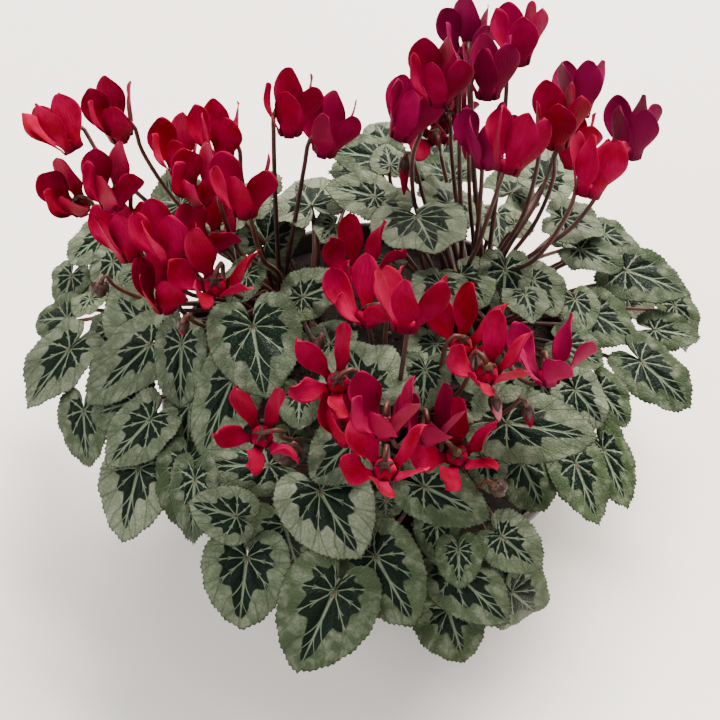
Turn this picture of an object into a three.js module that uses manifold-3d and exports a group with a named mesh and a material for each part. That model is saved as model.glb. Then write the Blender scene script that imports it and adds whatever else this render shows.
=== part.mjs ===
// Potted cyclamen: three small florist's cyclamens with silver-marked leaves and crimson
// flowers, growing close together in one low bowl of potting mix.
// Millimetres, +Z up, +Y to the back, origin at the middle of the bowl's flat underside.

import * as THREE from "three";
import { mergeVertices } from "three/addons/utils/BufferGeometryUtils.js";
import Module from "manifold-3d";

const wasm = await Module();
wasm.setup();

// Driving dimensions

const BOWL = { rim: 106, foot: 78, height: 88, wall: 3.4, floor: 4, lip: 2.2, lipHeight: 8, sides: 28 };
const GAP = 0.3;
const SLIVER = 0.1;
const MIX = { below: 9, swell: 2 };
const TUBER = { radius: 22, flat: 17.6, above: 7, below: 10, sides: 10 };
const COLLAR = { inner: 9.4, outer: 17.2, height: 4, middle: 14.6, sides: 8 };
const PLUG = { radius: 8.8, middle: 7, height: 5, sides: 8 };
const PETIOLE = { radius: 1.1, sides: 3, steps: 2 };
const BLADE = { thick: 0.7, tip: 0.77, droop: 0.16, ripple: 0.07, cup: 0.1, turn: 0.9 };
const STALK = { radius: 1.2, sides: 3, steps: 3, clearance: 0.4 };
const CALYX = { base: 3.2, height: 3.6, sides: 4 };
const NOSE = { shoulder: [4.6, -2.2], brim: [4.9, -6.2], throat: [3.1, -6.6], pit: -2.8, lift: 4 };
const PETAL = { count: 5, reach: 26, thick: 0.8, bend: [5.9, -4], first: 54, pitch: 63, twist: 22 };

const MIX_TOP = BOWL.height - MIX.below;
const TUBER_TOP = MIX_TOP + TUBER.above - 2;

// Where each plant's tuber stands in the bowl.
const CROWNS = {
  left: [-50, 38],
  right: [48, 45],
  front: [15, -45],
};

// The places of leaves and flowers are read in one sight of the plant, from the front and
// above. A sight place is across and down in half millimetres at the bowl's distance.
const SIGHT = { elevation: 54, distance: 1100, unit: 0.5, middle: 360, aim: [-7.5, 15.5, 88] };

// The leaves hold up a low dome, the canopy, that falls past the rim all round. Beyond its
// shoulder it falls evenly, and its back stands higher than its front.
const CANOPY = {
  middle: [-8, -5],
  half: [172, 158],
  top: 150,
  drop: 92,
  power: 2.4,
  layer: 4,
  shoulder: 0.85,
  reach: 1.06,
  back: 28,
};

const radians = (degrees) => (degrees * Math.PI) / 180;
const vec = (x, y, z) => new THREE.Vector3(x, y, z);
const UP = vec(0, 0, 1);

const sightRise = radians(SIGHT.elevation);
const sightRight = vec(1, 0, 0);
const sightUp = vec(0, Math.sin(sightRise), Math.cos(sightRise));
const sightBack = vec(0, -Math.cos(sightRise), Math.sin(sightRise));
const eye = vec(...SIGHT.aim).addScaledVector(sightBack, SIGHT.distance);

// Direction from the eye through a sight place, one unit deep.
function sightRay([across, down]) {
  const scale = SIGHT.unit / SIGHT.distance;
  return sightBack
    .clone()
    .negate()
    .addScaledVector(sightRight, (across - SIGHT.middle) * scale)
    .addScaledVector(sightUp, (SIGHT.middle - down) * scale);
}

// The point of a sight place at a height above the table.
function atHeight(place, z) {
  const ray = sightRay(place);
  return eye.clone().addScaledVector(ray, (z - eye.z) / ray.z);
}

function canopyShare(x, y) {
  return Math.hypot((x - CANOPY.middle[0]) / CANOPY.half[0], (y - CANOPY.middle[1]) / CANOPY.half[1]);
}

function canopyHeight(x, y) {
  const out = canopyShare(x, y);
  const inside = Math.min(out, CANOPY.shoulder);
  const back = CANOPY.back * (Math.max(y, 0) / CANOPY.half[1]) ** 2;
  return CANOPY.top + back - CANOPY.drop * (inside ** CANOPY.power + 1.3 * (out - inside));
}

function canopyNormal(x, y) {
  const step = 0.5;
  const slopeX = (canopyHeight(x + step, y) - canopyHeight(x - step, y)) / (2 * step);
  const slopeY = (canopyHeight(x, y + step) - canopyHeight(x, y - step)) / (2 * step);
  return vec(-slopeX, -slopeY, 1).normalize();
}

// The first point down a sight that meets the canopy raised by lift, or passes nearest to it.
function onCanopy(place, lift) {
  const top = CANOPY.top + 45;
  let nearest = null;
  let least = Infinity;
  for (let z = top; z > 20; z -= 0.5) {
    const p = atHeight(place, z);
    if (canopyShare(p.x, p.y) > CANOPY.reach) continue;
    const above = z - canopyHeight(p.x, p.y) - lift;
    if (above <= 0) return p;
    if (above < least) {
      least = above;
      nearest = p;
    }
  }
  return nearest;
}

// A solid made of a closed geometry, for joining and cutting.
function solidOf(geometry) {
  geometry.deleteAttribute("normal");
  geometry.deleteAttribute("uv");
  const merged = mergeVertices(geometry, 1e-4);
  return new wasm.Manifold(
    new wasm.Mesh({
      numProp: 3,
      vertProperties: Float32Array.from(merged.attributes.position.array),
      triVerts: Uint32Array.from(merged.index.array),
    }),
  );
}

// A turned solid about the axis through base, from a profile of [radius, height] pairs.
function turned(profile, sides, base, axis = UP) {
  const geometry = new THREE.LatheGeometry(profile.map(([r, z]) => new THREE.Vector2(r, z)), sides);
  geometry.applyQuaternion(new THREE.Quaternion().setFromUnitVectors(vec(0, 1, 0), axis));
  geometry.translate(base.x, base.y, base.z);
  return solidOf(geometry);
}

// A way along listed points, with one step of a rod for each of them.
class Way extends THREE.Curve {
  constructor(points) {
    super();
    this.points = points;
  }

  getPoint(t) {
    const place = t * (this.points.length - 1);
    const index = Math.min(Math.floor(place), this.points.length - 2);
    return this.points[index].clone().lerp(this.points[index + 1], place - index);
  }

  getPointAt(u) {
    return this.getPoint(u);
  }

  getTangentAt(u) {
    return this.getTangent(u);
  }

  getSpacedPoints(divisions) {
    return this.getPoints(divisions);
  }
}

// A thin rod along listed points.
function rod(points, radius, sides) {
  const section = new THREE.Shape();
  for (let i = 0; i < sides; i += 1) {
    const angle = (2 * Math.PI * i) / sides;
    section[i === 0 ? "moveTo" : "lineTo"](radius * Math.cos(angle), radius * Math.sin(angle));
  }
  section.closePath();
  const options = { steps: points.length - 1, bevelEnabled: false, extrudePath: new Way(points) };
  return solidOf(new THREE.ExtrudeGeometry(section, options));
}

// A thin plate: listed points with the triangles of its upper face and the order of its edge.
function plate(points, triangles, edge, normal, thick) {
  const upper = points.map((p) => p.clone().addScaledVector(normal, thick / 2));
  const lower = points.map((p) => p.clone().addScaledVector(normal, -thick / 2));
  const count = points.length;
  const index = [];
  for (const [a, b, c] of triangles) {
    index.push(a, b, c, count + a, count + c, count + b);
  }
  edge.forEach((a, i) => {
    const b = edge[(i + 1) % edge.length];
    index.push(a, count + a, count + b, a, count + b, b);
  });
  const geometry = new THREE.BufferGeometry();
  const flat = [...upper, ...lower].flatMap((p) => [p.x, p.y, p.z]);
  geometry.setAttribute("position", new THREE.Float32BufferAttribute(flat, 3));
  geometry.setIndex(index);
  return solidOf(geometry);
}

// A draw between 0 and 1 that is always the same for the same two numbers.
function draw(i, k) {
  const value = Math.sin(i * 12.9898 + k * 78.233) * 43758.5453;
  return value - Math.floor(value);
}

// The plant whose tuber stands nearest to a point.
function nearestPlant(point) {
  const away = (name) => Math.hypot(point.x - CROWNS[name][0], point.y - CROWNS[name][1]);
  return Object.keys(CROWNS).reduce((best, name) => (away(name) < away(best) ? name : best));
}

// The point of a sight place at a given reach from a start, the nearer to the wanted side.
function atReach(place, start, reach, cost) {
  const ray = sightRay(place).normalize();
  const along = start.clone().sub(eye).dot(ray);
  const foot = eye.clone().addScaledVector(ray, along);
  const aside = foot.distanceTo(start);
  const half = Math.sqrt(Math.max(reach * reach - aside * aside, 0));
  const ends = [half, -half].map((step) => foot.clone().addScaledVector(ray, step));
  return cost(ends[0]) <= cost(ends[1]) ? ends[0] : ends[1];
}

// Leaves read from the sight: junction, tip, width across and layer over the canopy.
const LEAVES = [
  [103, 236, 68, 262, 50, 4],
  [72, 276, 58, 309, 44, 0],
  [90, 300, 78, 316, 36, 2],
  [113, 262, 97, 300, 45, 2],
  [147, 331, 109, 286, 80, 0],
  [150, 345, 84, 402, 75, 3],
  [70, 350, 22, 404, 70, 4],
  [110, 330, 81, 339, 45, 1],
  [84, 411, 85, 468, 60, 0],
  [135, 402, 86, 414, 70, 1],
  [150, 420, 107, 466, 65, 3],
  [139, 469, 118, 541, 80, 2],
  [188, 465, 178, 528, 65, 1],
  [195, 480, 192, 543, 50, 5],
  [190, 405, 185, 455, 50, 1],
  [233, 379, 199, 458, 70, 3],
  [268, 465, 193, 466, 65, 1],
  [253, 327, 265, 399, 98, 6],
  [182, 345, 178, 410, 58, 5],
  [247, 275, 228, 306, 40, 6],
  [267, 241, 303, 195, 70, -2],
  [303, 297, 347, 277, 55, 2],
  [180, 235, 165, 170, 70, -2],
  [225, 235, 240, 196, 60, -2],
  [150, 262, 118, 285, 50, 1],
  [335, 225, 320, 240, 40, 1],
  [374, 197, 327, 182, 54, 5],
  [417, 218, 435, 250, 98, 6],
  [385, 140, 375, 118, 50, 0],
  [380, 159, 325, 148, 60, 2],
  [390, 165, 385, 143, 40, 3],
  [452, 177, 418, 155, 55, 1],
  [440, 165, 445, 128, 65, 0],
  [462, 276, 487, 305, 60, 3],
  [497, 215, 502, 243, 60, -2],
  [515, 225, 535, 225, 30, 1],
  [545, 180, 560, 148, 60, 3],
  [563, 219, 607, 230, 55, 6],
  [560, 230, 575, 240, 40, 2],
  [605, 235, 642, 255, 44, 2],
  [580, 250, 625, 266, 50, 4],
  [626, 271, 690, 290, 65, 5],
  [674, 305, 690, 350, 48, 3],
  [593, 314, 638, 338, 66, 0],
  [641, 362, 692, 404, 70, 2],
  [655, 330, 700, 335, 45, 3],
  [533, 280, 560, 312, 58, 2],
  [575, 300, 588, 330, 50, 2],
  [525, 295, 535, 318, 50, 5],
  [505, 270, 503, 318, 55, 5],
  [565, 345, 605, 363, 52, 2],
  [540, 372, 547, 410, 46, -2],
  [575, 390, 605, 425, 56, 3],
  [600, 390, 628, 425, 50, 1],
  [507, 423, 600, 438, 80, 5],
  [575, 463, 602, 524, 62, 2],
  [603, 450, 628, 508, 55, 1],
  [522, 463, 545, 511, 70, 0],
  [425, 487, 490, 519, 65, 3],
  [351, 443, 310, 482, 70, 6],
  [345, 400, 315, 425, 60, 0],
  [320, 492, 360, 558, 97, 4],
  [236, 516, 187, 503, 60, 5],
  [247, 558, 238, 630, 92, 3],
  [285, 525, 300, 580, 90, 1],
  [334, 592, 298, 673, 102, 5],
  [376, 557, 415, 626, 85, 2],
  [448, 610, 466, 665, 80, -2],
  [454, 572, 508, 622, 70, 1],
  [490, 545, 510, 590, 55, -2],
  [502, 537, 541, 570, 60, 3],
  [511, 592, 540, 616, 76, 0],
  [458, 550, 460, 590, 50, 3],
  [386, 500, 386, 522, 40, 1],
  [366, 388, 343, 336, 90, 5],
  [330, 345, 322, 320, 60, -1],
  [300, 395, 298, 430, 50, 2],
  [290, 440, 282, 472, 45, -1],
  [460, 405, 462, 422, 50, -2],
  [425, 370, 422, 412, 55, 4],
  [435, 345, 430, 375, 60, 1],
  [480, 360, 480, 390, 75, -2],
  [500, 380, 510, 400, 50, -2],
  [440, 285, 435, 320, 60, 5],
  [385, 262, 388, 278, 45, 0],
  [486, 462, 492, 492, 42, 0],
  [436, 525, 440, 562, 46, 1],
];

// Flowers read from the sight: seat, middle of the petals' tops, height of the seat above the
// table, opening of the petals in degrees and the plant.
const FLOWERS = [
  [72, 145, 45, 100, 174, 13, "left"],
  [120, 133, 108, 92, 200, 13, "left"],
  [80, 205, 60, 178, 160, 13, "left"],
  [112, 200, 110, 160, 204, 13, "left"],
  [130, 253, 114, 205, 174, 13, "left"],
  [172, 255, 158, 208, 190, 13, "left"],
  [180, 168, 178, 128, 160, 14, "left"],
  [222, 155, 219, 108, 185, 13, "left"],
  [200, 195, 198, 163, 203, 12, "left"],
  [245, 208, 242, 162, 228, 16, "left"],
  [218, 240, 216, 212, 158, 16, "left"],
  [165, 303, 162, 262, 162, 16, "left"],
  [215, 285, 213, 255, 204, 30, "left"],
  [290, 127, 290, 80, 224, 13, "left"],
  [325, 148, 333, 103, 195, 13, "left"],
  [402, 133, 420, 85, 204, 13, "right"],
  [440, 97, 440, 50, 236, 13, "right"],
  [468, 52, 468, 15, 189, 13, "right"],
  [488, 92, 488, 40, 219, 13, "right"],
  [518, 58, 518, 8, 212, 13, "right"],
  [487, 160, 487, 112, 210, 12, "right"],
  [508, 167, 526, 112, 238, 13, "right"],
  [557, 140, 555, 93, 216, 13, "right"],
  [578, 112, 578, 60, 180, 14, "right"],
  [572, 158, 573, 118, 182, 12, "right"],
  [588, 191, 604, 130, 218, 13, "right"],
  [630, 152, 633, 102, 182, 13, "right"],
  [447, 118, 447, 94, 186, 12, "right"],
  [437, 135, 435, 121, 157, 24, "right"],
  [360, 272, 367, 240, 164, 28, "front"],
  [368, 316, 371, 275, 178, 30, "front"],
  [405, 325, 413, 270, 200, 24, "front"],
  [462, 345, 470, 312, 172, 32, "front"],
  [487, 372, 492, 340, 212, 30, "front"],
  [548, 375, 550, 330, 185, 28, "right"],
  [338, 382, 336, 362, 197, 36, "front"],
  [348, 435, 346, 393, 167, 12, "front"],
  [385, 427, 384, 390, 217, 16, "front"],
  [385, 469, 383, 443, 193, 30, "front"],
  [428, 433, 430, 405, 180, 14, "front"],
  [457, 455, 457, 440, 154, 34, "front"],
  [262, 436, 262, 425, 165, 32, "front"],
];

// Buds and seed capsules read from the sight: tip, top of the stalk's arch, height of the arch,
// length, width and plant. A capsule is round and stays with its stalk.
const BUDS = [
  [182, 336, 184, 318, 182, 15, 6, "left"],
  [310, 354, 324, 337, 178, 15, 6, "left"],
  [404, 198, 405, 150, 190, 22, 6.5, "right"],
  [466, 162, 466, 130, 200, 17, 6, "right"],
  [500, 424, 493, 390, 178, 18, 6.5, "right"],
  [531, 430, 526, 400, 172, 16, 6, "front"],
];
const CAPSULES = [
  [98, 300, 101, 277, 150, 9, 8, "left"],
  [380, 496, 390, 468, 158, 10, 9, "front"],
  [507, 492, 490, 484, 150, 9, 7, "front"],
  [277, 464, 290, 446, 155, 10, 9, "front"],
];

// Leaves of the far side, which the sight doesn't reach: turn about the bowl's axis in
// degrees, share of the canopy's half width, width and layer.
const FAR_LEAVES = [
  [28, 0.9, 30, -1],
  [44, 0.88, 33, -2],
  [60, 0.93, 31, -1],
  [76, 0.9, 34, -2],
  [90, 0.8, 32, -1],
  [104, 0.62, 33, -1],
  [118, 0.64, 32, 2],
  [132, 0.78, 34, 4],
  [146, 0.9, 32, -2],
  [158, 0.94, 30, -1],
  [62, 0.55, 36, 2],
  [84, 0.5, 38, 0],
  [108, 0.44, 38, 3],
  [130, 0.54, 38, 4],
  [150, 0.62, 36, -2],
];

// The half outline of a blade, across and along, as shares of its width.
const OUTLINE = [
  [0.07, -0.29],
  [0.42, -0.23],
  [0.49, 0.22],
  [0.25, 0.6],
];

// Height of a blade's surface over its flat, in shares of its width.
function bladeRise(across, along, seed) {
  const reach = Math.hypot(across, along);
  const angle = Math.atan2(across, along);
  const wave = Math.sin(3 * angle + 6.28 * draw(seed, 1)) + 0.6 * Math.sin(5 * angle + 6.28 * draw(seed, 2));
  return -BLADE.droop * reach * reach + BLADE.ripple * reach * wave + BLADE.cup * Math.abs(across) * 0.5;
}

// The place of a leaf: junction, direction to the tip, side, normal, width and length.
function leafPlace([jx, jy, tx, ty, wide, layer], seed) {
  const junction = onCanopy([jx, jy], layer * CANOPY.layer);
  const depth = -junction.clone().sub(eye).dot(sightBack);
  const width = wide * SIGHT.unit * (depth / SIGHT.distance);
  const wanted = BLADE.tip * width;
  const cost = (p) => Math.abs(p.z - canopyHeight(p.x, p.y) - layer * CANOPY.layer);
  const tip = atReach([tx, ty], junction, wanted, cost);
  return leafFrame(junction, tip, width, seed);
}

// A far leaf hangs outward from its place on the canopy.
function farLeafPlace([turn, share, width, layer], index) {
  const dx = share * CANOPY.half[0] * Math.cos(radians(turn));
  const dy = share * CANOPY.half[1] * Math.sin(radians(turn));
  const x = CANOPY.middle[0] + dx;
  const y = CANOPY.middle[1] + dy;
  const junction = vec(x, y, canopyHeight(x, y) + layer * CANOPY.layer);
  const step = (BLADE.tip * width) / Math.hypot(dx, dy);
  const tip = vec(x + dx * step, y + dy * step, 0);
  tip.z = junction.z + 0.8 * (canopyHeight(tip.x, tip.y) - canopyHeight(x, y));
  tip.sub(junction).setLength(BLADE.tip * width).add(junction);
  return leafFrame(junction, tip, width, LEAVES.length + index);
}

// A blade faces between the canopy's normal and the front, where the light comes from.
function leafFrame(junction, tip, width, seed) {
  const forward = tip.clone().sub(junction);
  const length = forward.length();
  forward.normalize();
  const lean = canopyNormal(junction.x, junction.y).addScaledVector(sightBack, BLADE.turn);
  const normal = lean.addScaledVector(forward, -lean.dot(forward)).normalize();
  const side = forward.clone().cross(normal);
  return { junction, forward, side, normal, width, length: length / BLADE.tip, seed };
}

// The outline runs from the junction up the right half to the tip and down the left half.
const BLADE_TRIANGLES = [
  [0, 1, 2],
  [0, 2, 3],
  [0, 3, 7],
  [3, 4, 6],
  [3, 6, 7],
  [4, 5, 6],
  [0, 7, 8],
  [0, 8, 9],
];

function bladeSolid(leaf) {
  const half = OUTLINE.map(([u, v]) => [u, v]);
  const outline = [[0, 0], ...half, [0, BLADE.tip], ...half.reverse().map(([u, v]) => [-u, v])];
  const points = outline.map(([u, v]) =>
    leaf.junction
      .clone()
      .addScaledVector(leaf.side, u * leaf.width)
      .addScaledVector(leaf.forward, v * leaf.length)
      .addScaledVector(leaf.normal, bladeRise(u, v, leaf.seed) * leaf.width),
  );
  return plate(points, BLADE_TRIANGLES, points.map((_, i) => i), leaf.normal, BLADE.thick);
}

// Each leaf or flower of a plant gets its own place round the crown, in order of direction.
function takeSlots(own, plant, placeOf) {
  const [cx, cy] = CROWNS[plant];
  const turnOf = (item) => Math.atan2(placeOf(item).y - cy, placeOf(item).x - cx);
  const sorted = [...own].sort((a, b) => turnOf(a) - turnOf(b));
  sorted.forEach((item, i) => {
    item.slot = -Math.PI + (2 * Math.PI * (i + 0.5)) / sorted.length;
  });
}

// Where a low outer leaf's stalk passes over the rim.
function overRim(start, end) {
  for (let share = 0; share < 1; share += 0.02) {
    const p = start.clone().lerp(end, share);
    if (Math.hypot(p.x, p.y) > BOWL.rim + 3) return p.setZ(Math.max(p.z, BOWL.height) + 6);
  }
  return start.clone().lerp(end, 0.5);
}

// The way of a leaf's stalk from its plant's collar to just inside the blade.
function petioleWay(leaf, plant) {
  const [cx, cy] = CROWNS[plant];
  const inside = leaf.junction.clone().addScaledVector(leaf.forward, 2.2).addScaledVector(leaf.normal, -0.15);
  const end = inside.clone().addScaledVector(leaf.normal, -3.5);
  const turn = leaf.slot;
  const out = vec(Math.cos(turn), Math.sin(turn), 0);
  const start = vec(cx, cy, TUBER_TOP + GAP + 1).addScaledVector(out, COLLAR.middle);
  const span = start.distanceTo(end);
  const high = THREE.MathUtils.clamp((end.z - 95) / 40, 0, 1);
  const rise = Math.max(0.5 * (end.z - start.z), 26);
  const lower = start.clone().addScaledVector(UP, rise).addScaledVector(out, 0.08 * span);
  const upper = end
    .clone()
    .addScaledVector(leaf.normal, -(0.14 + 0.18 * high) * span)
    .addScaledVector(leaf.forward, -(0.26 - 0.18 * high) * span);
  const way = new THREE.CubicBezierCurve3(start, lower, upper, end).getPoints(PETIOLE.steps);
  if (end.z < BOWL.height + 30 && Math.hypot(end.x, end.y) > BOWL.rim) way[1] = overRim(start, end);
  return [...way, inside];
}

// The place of a flower: seat over the read foot of the nose, axis to the petals' tops, and the side on
// which its stalk comes up.
function flowerPlace([nx, ny, tx, ty, height, open, plant], seed) {
  const seat = atHeight([nx, ny], height);
  const top = atReach([tx, ty], seat, 25, (p) => -p.z);
  const axis = top.sub(seat).normalize();
  seat.addScaledVector(axis, NOSE.lift);
  const [cx, cy] = CROWNS[plant];
  const home = vec(cx, cy, height - 60).sub(seat).normalize();
  const gap = home.addScaledVector(axis, -home.dot(axis)).normalize();
  const cross = axis.clone().cross(gap);
  return { seat, axis, gap, cross, open: radians(open), plant, seed };
}

// A point in a flower's own frame, from its reach, turn about the axis and height.
function inFlower(flower, reach, turn, height) {
  return flower.seat
    .clone()
    .addScaledVector(flower.gap, reach * Math.cos(turn))
    .addScaledVector(flower.cross, reach * Math.sin(turn))
    .addScaledVector(flower.axis, height);
}

// Petal rows: distance along, half width, steps of twist and thickness. The root is a wall of
// the nose, and the first row is the petal's narrow waist, which keeps it clear of the next.
const PETAL_ROWS = [
  [2.5, 2.5, 0.2, 1.4],
  [11.8, 6.9, 1, 0.8],
  [20, 6.2, 1.5, 0.8],
];

// Four corners of a petal's section on each row, then the two corners of its tip.
function petalCorners(flower, turn) {
  const outward = inFlower(flower, 1, turn, 0).sub(flower.seat);
  const tangent = flower.axis.clone().cross(outward);
  const sin = Math.sin(flower.open);
  const cos = Math.cos(flower.open);
  const along = outward.clone().multiplyScalar(sin).addScaledVector(flower.axis, cos);
  const normal = outward.clone().multiplyScalar(cos).addScaledVector(flower.axis, -sin);
  const bend = inFlower(flower, PETAL.bend[0], turn, PETAL.bend[1]);
  const corners = [];
  for (const [distance, half, twist, thick] of PETAL_ROWS) {
    const angle = radians(PETAL.twist * twist);
    const across = tangent.clone().multiplyScalar(Math.cos(angle)).addScaledVector(normal, Math.sin(angle));
    const middle = bend.clone().addScaledVector(along, distance);
    for (const [side, face] of [[-1, 1], [1, 1], [1, -1], [-1, -1]]) {
      const place = middle.clone().addScaledVector(across, side * half);
      corners.push(place.addScaledVector(normal, (face * thick) / 2));
    }
  }
  const tip = bend.addScaledVector(along, PETAL.reach);
  corners.push(tip.clone().addScaledVector(normal, PETAL.thick / 2));
  corners.push(tip.clone().addScaledVector(normal, -PETAL.thick / 2));
  return corners;
}

// A bloom is one closed skin: a hollow nose with six walls, and a petal grown out of all of
// them but the one that faces the stalk.
function bloomSolid(flower) {
  const points = [];
  const index = [];
  const put = (p) => points.push(p) - 1;
  const ring = ([reach, height]) =>
    [0, 1, 2, 3, 4, 5].map((k) => {
      const turn = radians(PETAL.first - PETAL.pitch / 2 + PETAL.pitch * k);
      return put(inFlower(flower, reach, turn, height));
    });
  const shoulder = ring(NOSE.shoulder);
  const brim = ring(NOSE.brim);
  const throat = ring(NOSE.throat);
  const seat = put(flower.seat.clone());
  const pit = put(inFlower(flower, 0, 0, NOSE.pit));
  const quad = (a, b, c, d) => index.push(a, b, c, a, c, d);
  for (let k = 0; k < 6; k += 1) {
    const next = (k + 1) % 6;
    index.push(shoulder[k], shoulder[next], seat);
    index.push(throat[k], pit, throat[next]);
    quad(brim[k], throat[k], throat[next], brim[next]);
    if (k === PETAL.count) {
      quad(brim[k], brim[next], shoulder[next], shoulder[k]);
      continue;
    }
    const turn = radians(PETAL.first + PETAL.pitch * k);
    const c = petalCorners(flower, turn).map(put);
    const loops = [[brim[k], brim[next], shoulder[next], shoulder[k]]];
    for (let row = 0; row < PETAL_ROWS.length; row += 1) loops.push(c.slice(4 * row, 4 * row + 4));
    for (let row = 0; row < PETAL_ROWS.length; row += 1) {
      for (let i = 0; i < 4; i += 1) {
        const j = (i + 1) % 4;
        quad(loops[row][i], loops[row][j], loops[row + 1][j], loops[row + 1][i]);
      }
    }
    const [outerLeft, outerRight, innerRight, innerLeft] = loops[PETAL_ROWS.length];
    const [outerTip, innerTip] = c.slice(-2);
    index.push(outerLeft, outerRight, outerTip, innerRight, innerLeft, innerTip);
    quad(outerRight, innerRight, innerTip, outerTip);
    quad(innerLeft, outerLeft, outerTip, innerTip);
  }
  const geometry = new THREE.BufferGeometry();
  const flat = points.flatMap((p) => [p.x, p.y, p.z]);
  geometry.setAttribute("position", new THREE.Float32BufferAttribute(flat, 3));
  geometry.setIndex(index);
  return solidOf(geometry);
}

// The way of a flower's stalk: up from its plant, past the nose and over into the calyx.
function stalkWay(flower) {
  const [cx, cy] = CROWNS[flower.plant];
  const out = vec(Math.cos(flower.slot), Math.sin(flower.slot), 0);
  const start = vec(cx, cy, TUBER_TOP + GAP + 2).addScaledVector(out, PLUG.middle);
  const below = inFlower(flower, 9, 0, -13);
  const span = start.distanceTo(below);
  const lower = start.clone().addScaledVector(UP, 0.5 * span);
  const upper = below.clone().addScaledVector(flower.axis, -0.25 * span).addScaledVector(UP, -0.1 * span);
  const way = new THREE.CubicBezierCurve3(start, lower, upper, below).getPoints(STALK.steps);
  return [...way, inFlower(flower, 8.6, 0, 1), inFlower(flower, 5, 0, 5.6), inFlower(flower, 0.3, 0, 1.7)];
}

// A bud hangs from its stalk's arch: the way up, over the arch and down into the bud.
function budPlace([tx, ty, ax, ay, height, length, width, plant]) {
  const arch = atHeight([ax, ay], height);
  const tip = atReach([tx, ty], arch, length + 7, (p) => p.z);
  return { arch, tip, length, width, plant, seat: arch };
}

function budWay(bud) {
  const [cx, cy] = CROWNS[bud.plant];
  const out = vec(Math.cos(bud.slot), Math.sin(bud.slot), 0);
  const start = vec(cx, cy, TUBER_TOP + GAP + 2).addScaledVector(out, PLUG.middle);
  const back = vec(cx - bud.arch.x, cy - bud.arch.y, 0).normalize();
  const near = bud.arch.clone().addScaledVector(back, 6).addScaledVector(UP, -9);
  const lower = start.clone().addScaledVector(UP, 0.5 * start.distanceTo(near));
  const upper = near.clone().addScaledVector(UP, -0.3 * start.distanceTo(near));
  const way = new THREE.CubicBezierCurve3(start, lower, upper, near).getPoints(STALK.steps);
  const neck = bud.arch.clone().lerp(bud.tip, 5 / bud.arch.distanceTo(bud.tip));
  return [...way, bud.arch.clone().addScaledVector(back, 2).addScaledVector(UP, 1), neck];
}

// A furled bud or a capsule, from its neck to its tip, a gap below the end of the stalk.
function budSolid(bud, apart) {
  const axis = bud.tip.clone().sub(bud.arch).normalize();
  const neck = bud.arch.clone().addScaledVector(axis, 5 + apart);
  const r = bud.width / 2;
  const profile = [
    [0, 0],
    [0.7 * r, 0.08 * bud.length],
    [r, 0.35 * bud.length],
    [0.6 * r, 0.8 * bud.length],
    [0, bud.length],
  ];
  return turned(profile, 5, neck, axis);
}

function calyxSolid(flower) {
  const profile = [
    [0, GAP],
    [CALYX.base, GAP],
    [0, CALYX.height],
  ];
  return turned(profile, CALYX.sides, flower.seat, flower.axis);
}

// The bowl, the potting mix and the tubers.

function bowlSolid() {
  const { rim, foot, height, wall, floor, lip, lipHeight } = BOWL;
  const profile = [
    [0, 0],
    [foot, 0],
    [rim - lip, height - lipHeight],
    [rim, height - lipHeight + 2],
    [rim, height - 1.5],
    [rim - 1.5, height],
    [rim - wall, height],
    [foot - wall, floor],
    [0, floor],
  ];
  return turned(profile, BOWL.sides, vec(0, 0, 0));
}

function mixSolid() {
  const { rim, foot, height, wall, floor } = BOWL;
  const slope = (rim - foot) / (height - floor);
  const clear = wall + GAP * 1.4;
  const profile = [
    [0, floor + GAP],
    [foot - clear + slope * GAP, floor + GAP],
    [foot - clear + slope * (MIX_TOP - floor), MIX_TOP],
    [0.6 * rim, MIX_TOP + MIX.swell],
    [0, MIX_TOP + MIX.swell],
  ];
  return turned(profile, BOWL.sides, vec(0, 0, 0));
}

function tuberSolid(plant, clear = 0) {
  const { radius, flat, above, below, sides } = TUBER;
  const profile = [
    [0, -below - clear],
    [0.6 * radius, 0.25 * radius - below - clear],
    [radius + clear, 0],
    [0.92 * radius + clear, 0.5 * above],
    [flat + clear, above + clear],
    [0, above + clear],
  ];
  const [cx, cy] = CROWNS[plant];
  return turned(profile, sides, vec(cx, cy, TUBER_TOP - above));
}

function collarSolid(plant) {
  const [cx, cy] = CROWNS[plant];
  const profile = [
    [COLLAR.inner, 0],
    [COLLAR.outer, 0],
    [COLLAR.outer - 1, COLLAR.height],
    [COLLAR.inner, COLLAR.height],
    [COLLAR.inner, 0],
  ];
  return turned(profile, COLLAR.sides, vec(cx, cy, TUBER_TOP + GAP));
}

function plugSolid(plant) {
  const [cx, cy] = CROWNS[plant];
  const profile = [
    [0, 0],
    [PLUG.radius, 0],
    [PLUG.radius - 1, PLUG.height],
    [0, PLUG.height],
  ];
  return turned(profile, PLUG.sides, vec(cx, cy, TUBER_TOP + GAP));
}

// The assembly

const group = new THREE.Group();

function addNode(name, solid, colour, roughness) {
  const mesh = solid.getMesh();
  const geometry = new THREE.BufferGeometry();
  geometry.setAttribute("position", new THREE.BufferAttribute(mesh.vertProperties, 3));
  geometry.setIndex(new THREE.BufferAttribute(mesh.triVerts, 1));
  const material = new THREE.MeshStandardMaterial({ color: colour, roughness, metalness: 0 });
  const node = new THREE.Mesh(geometry, material);
  node.name = name;
  group.add(node);
}

// The body that is left when the crumbs of a cut are dropped.
function largest(solid) {
  const bodies = solid.decompose();
  return bodies.reduce((best, body) => (body.volume() > best.volume() ? body : best));
}

const plants = Object.keys(CROWNS);
const leaves = [...LEAVES.map(leafPlace), ...FAR_LEAVES.map(farLeafPlace)];
const flowers = FLOWERS.map(flowerPlace);
const buds = BUDS.map(budPlace);
const capsules = CAPSULES.map(budPlace);

addNode("pot", bowlSolid(), "#3a3436", 0.7);
const seats = plants.map((plant) => tuberSolid(plant, GAP));
addNode("potting_mix", wasm.Manifold.difference([mixSolid(), ...seats]), "#3b2a20", 1);

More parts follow.
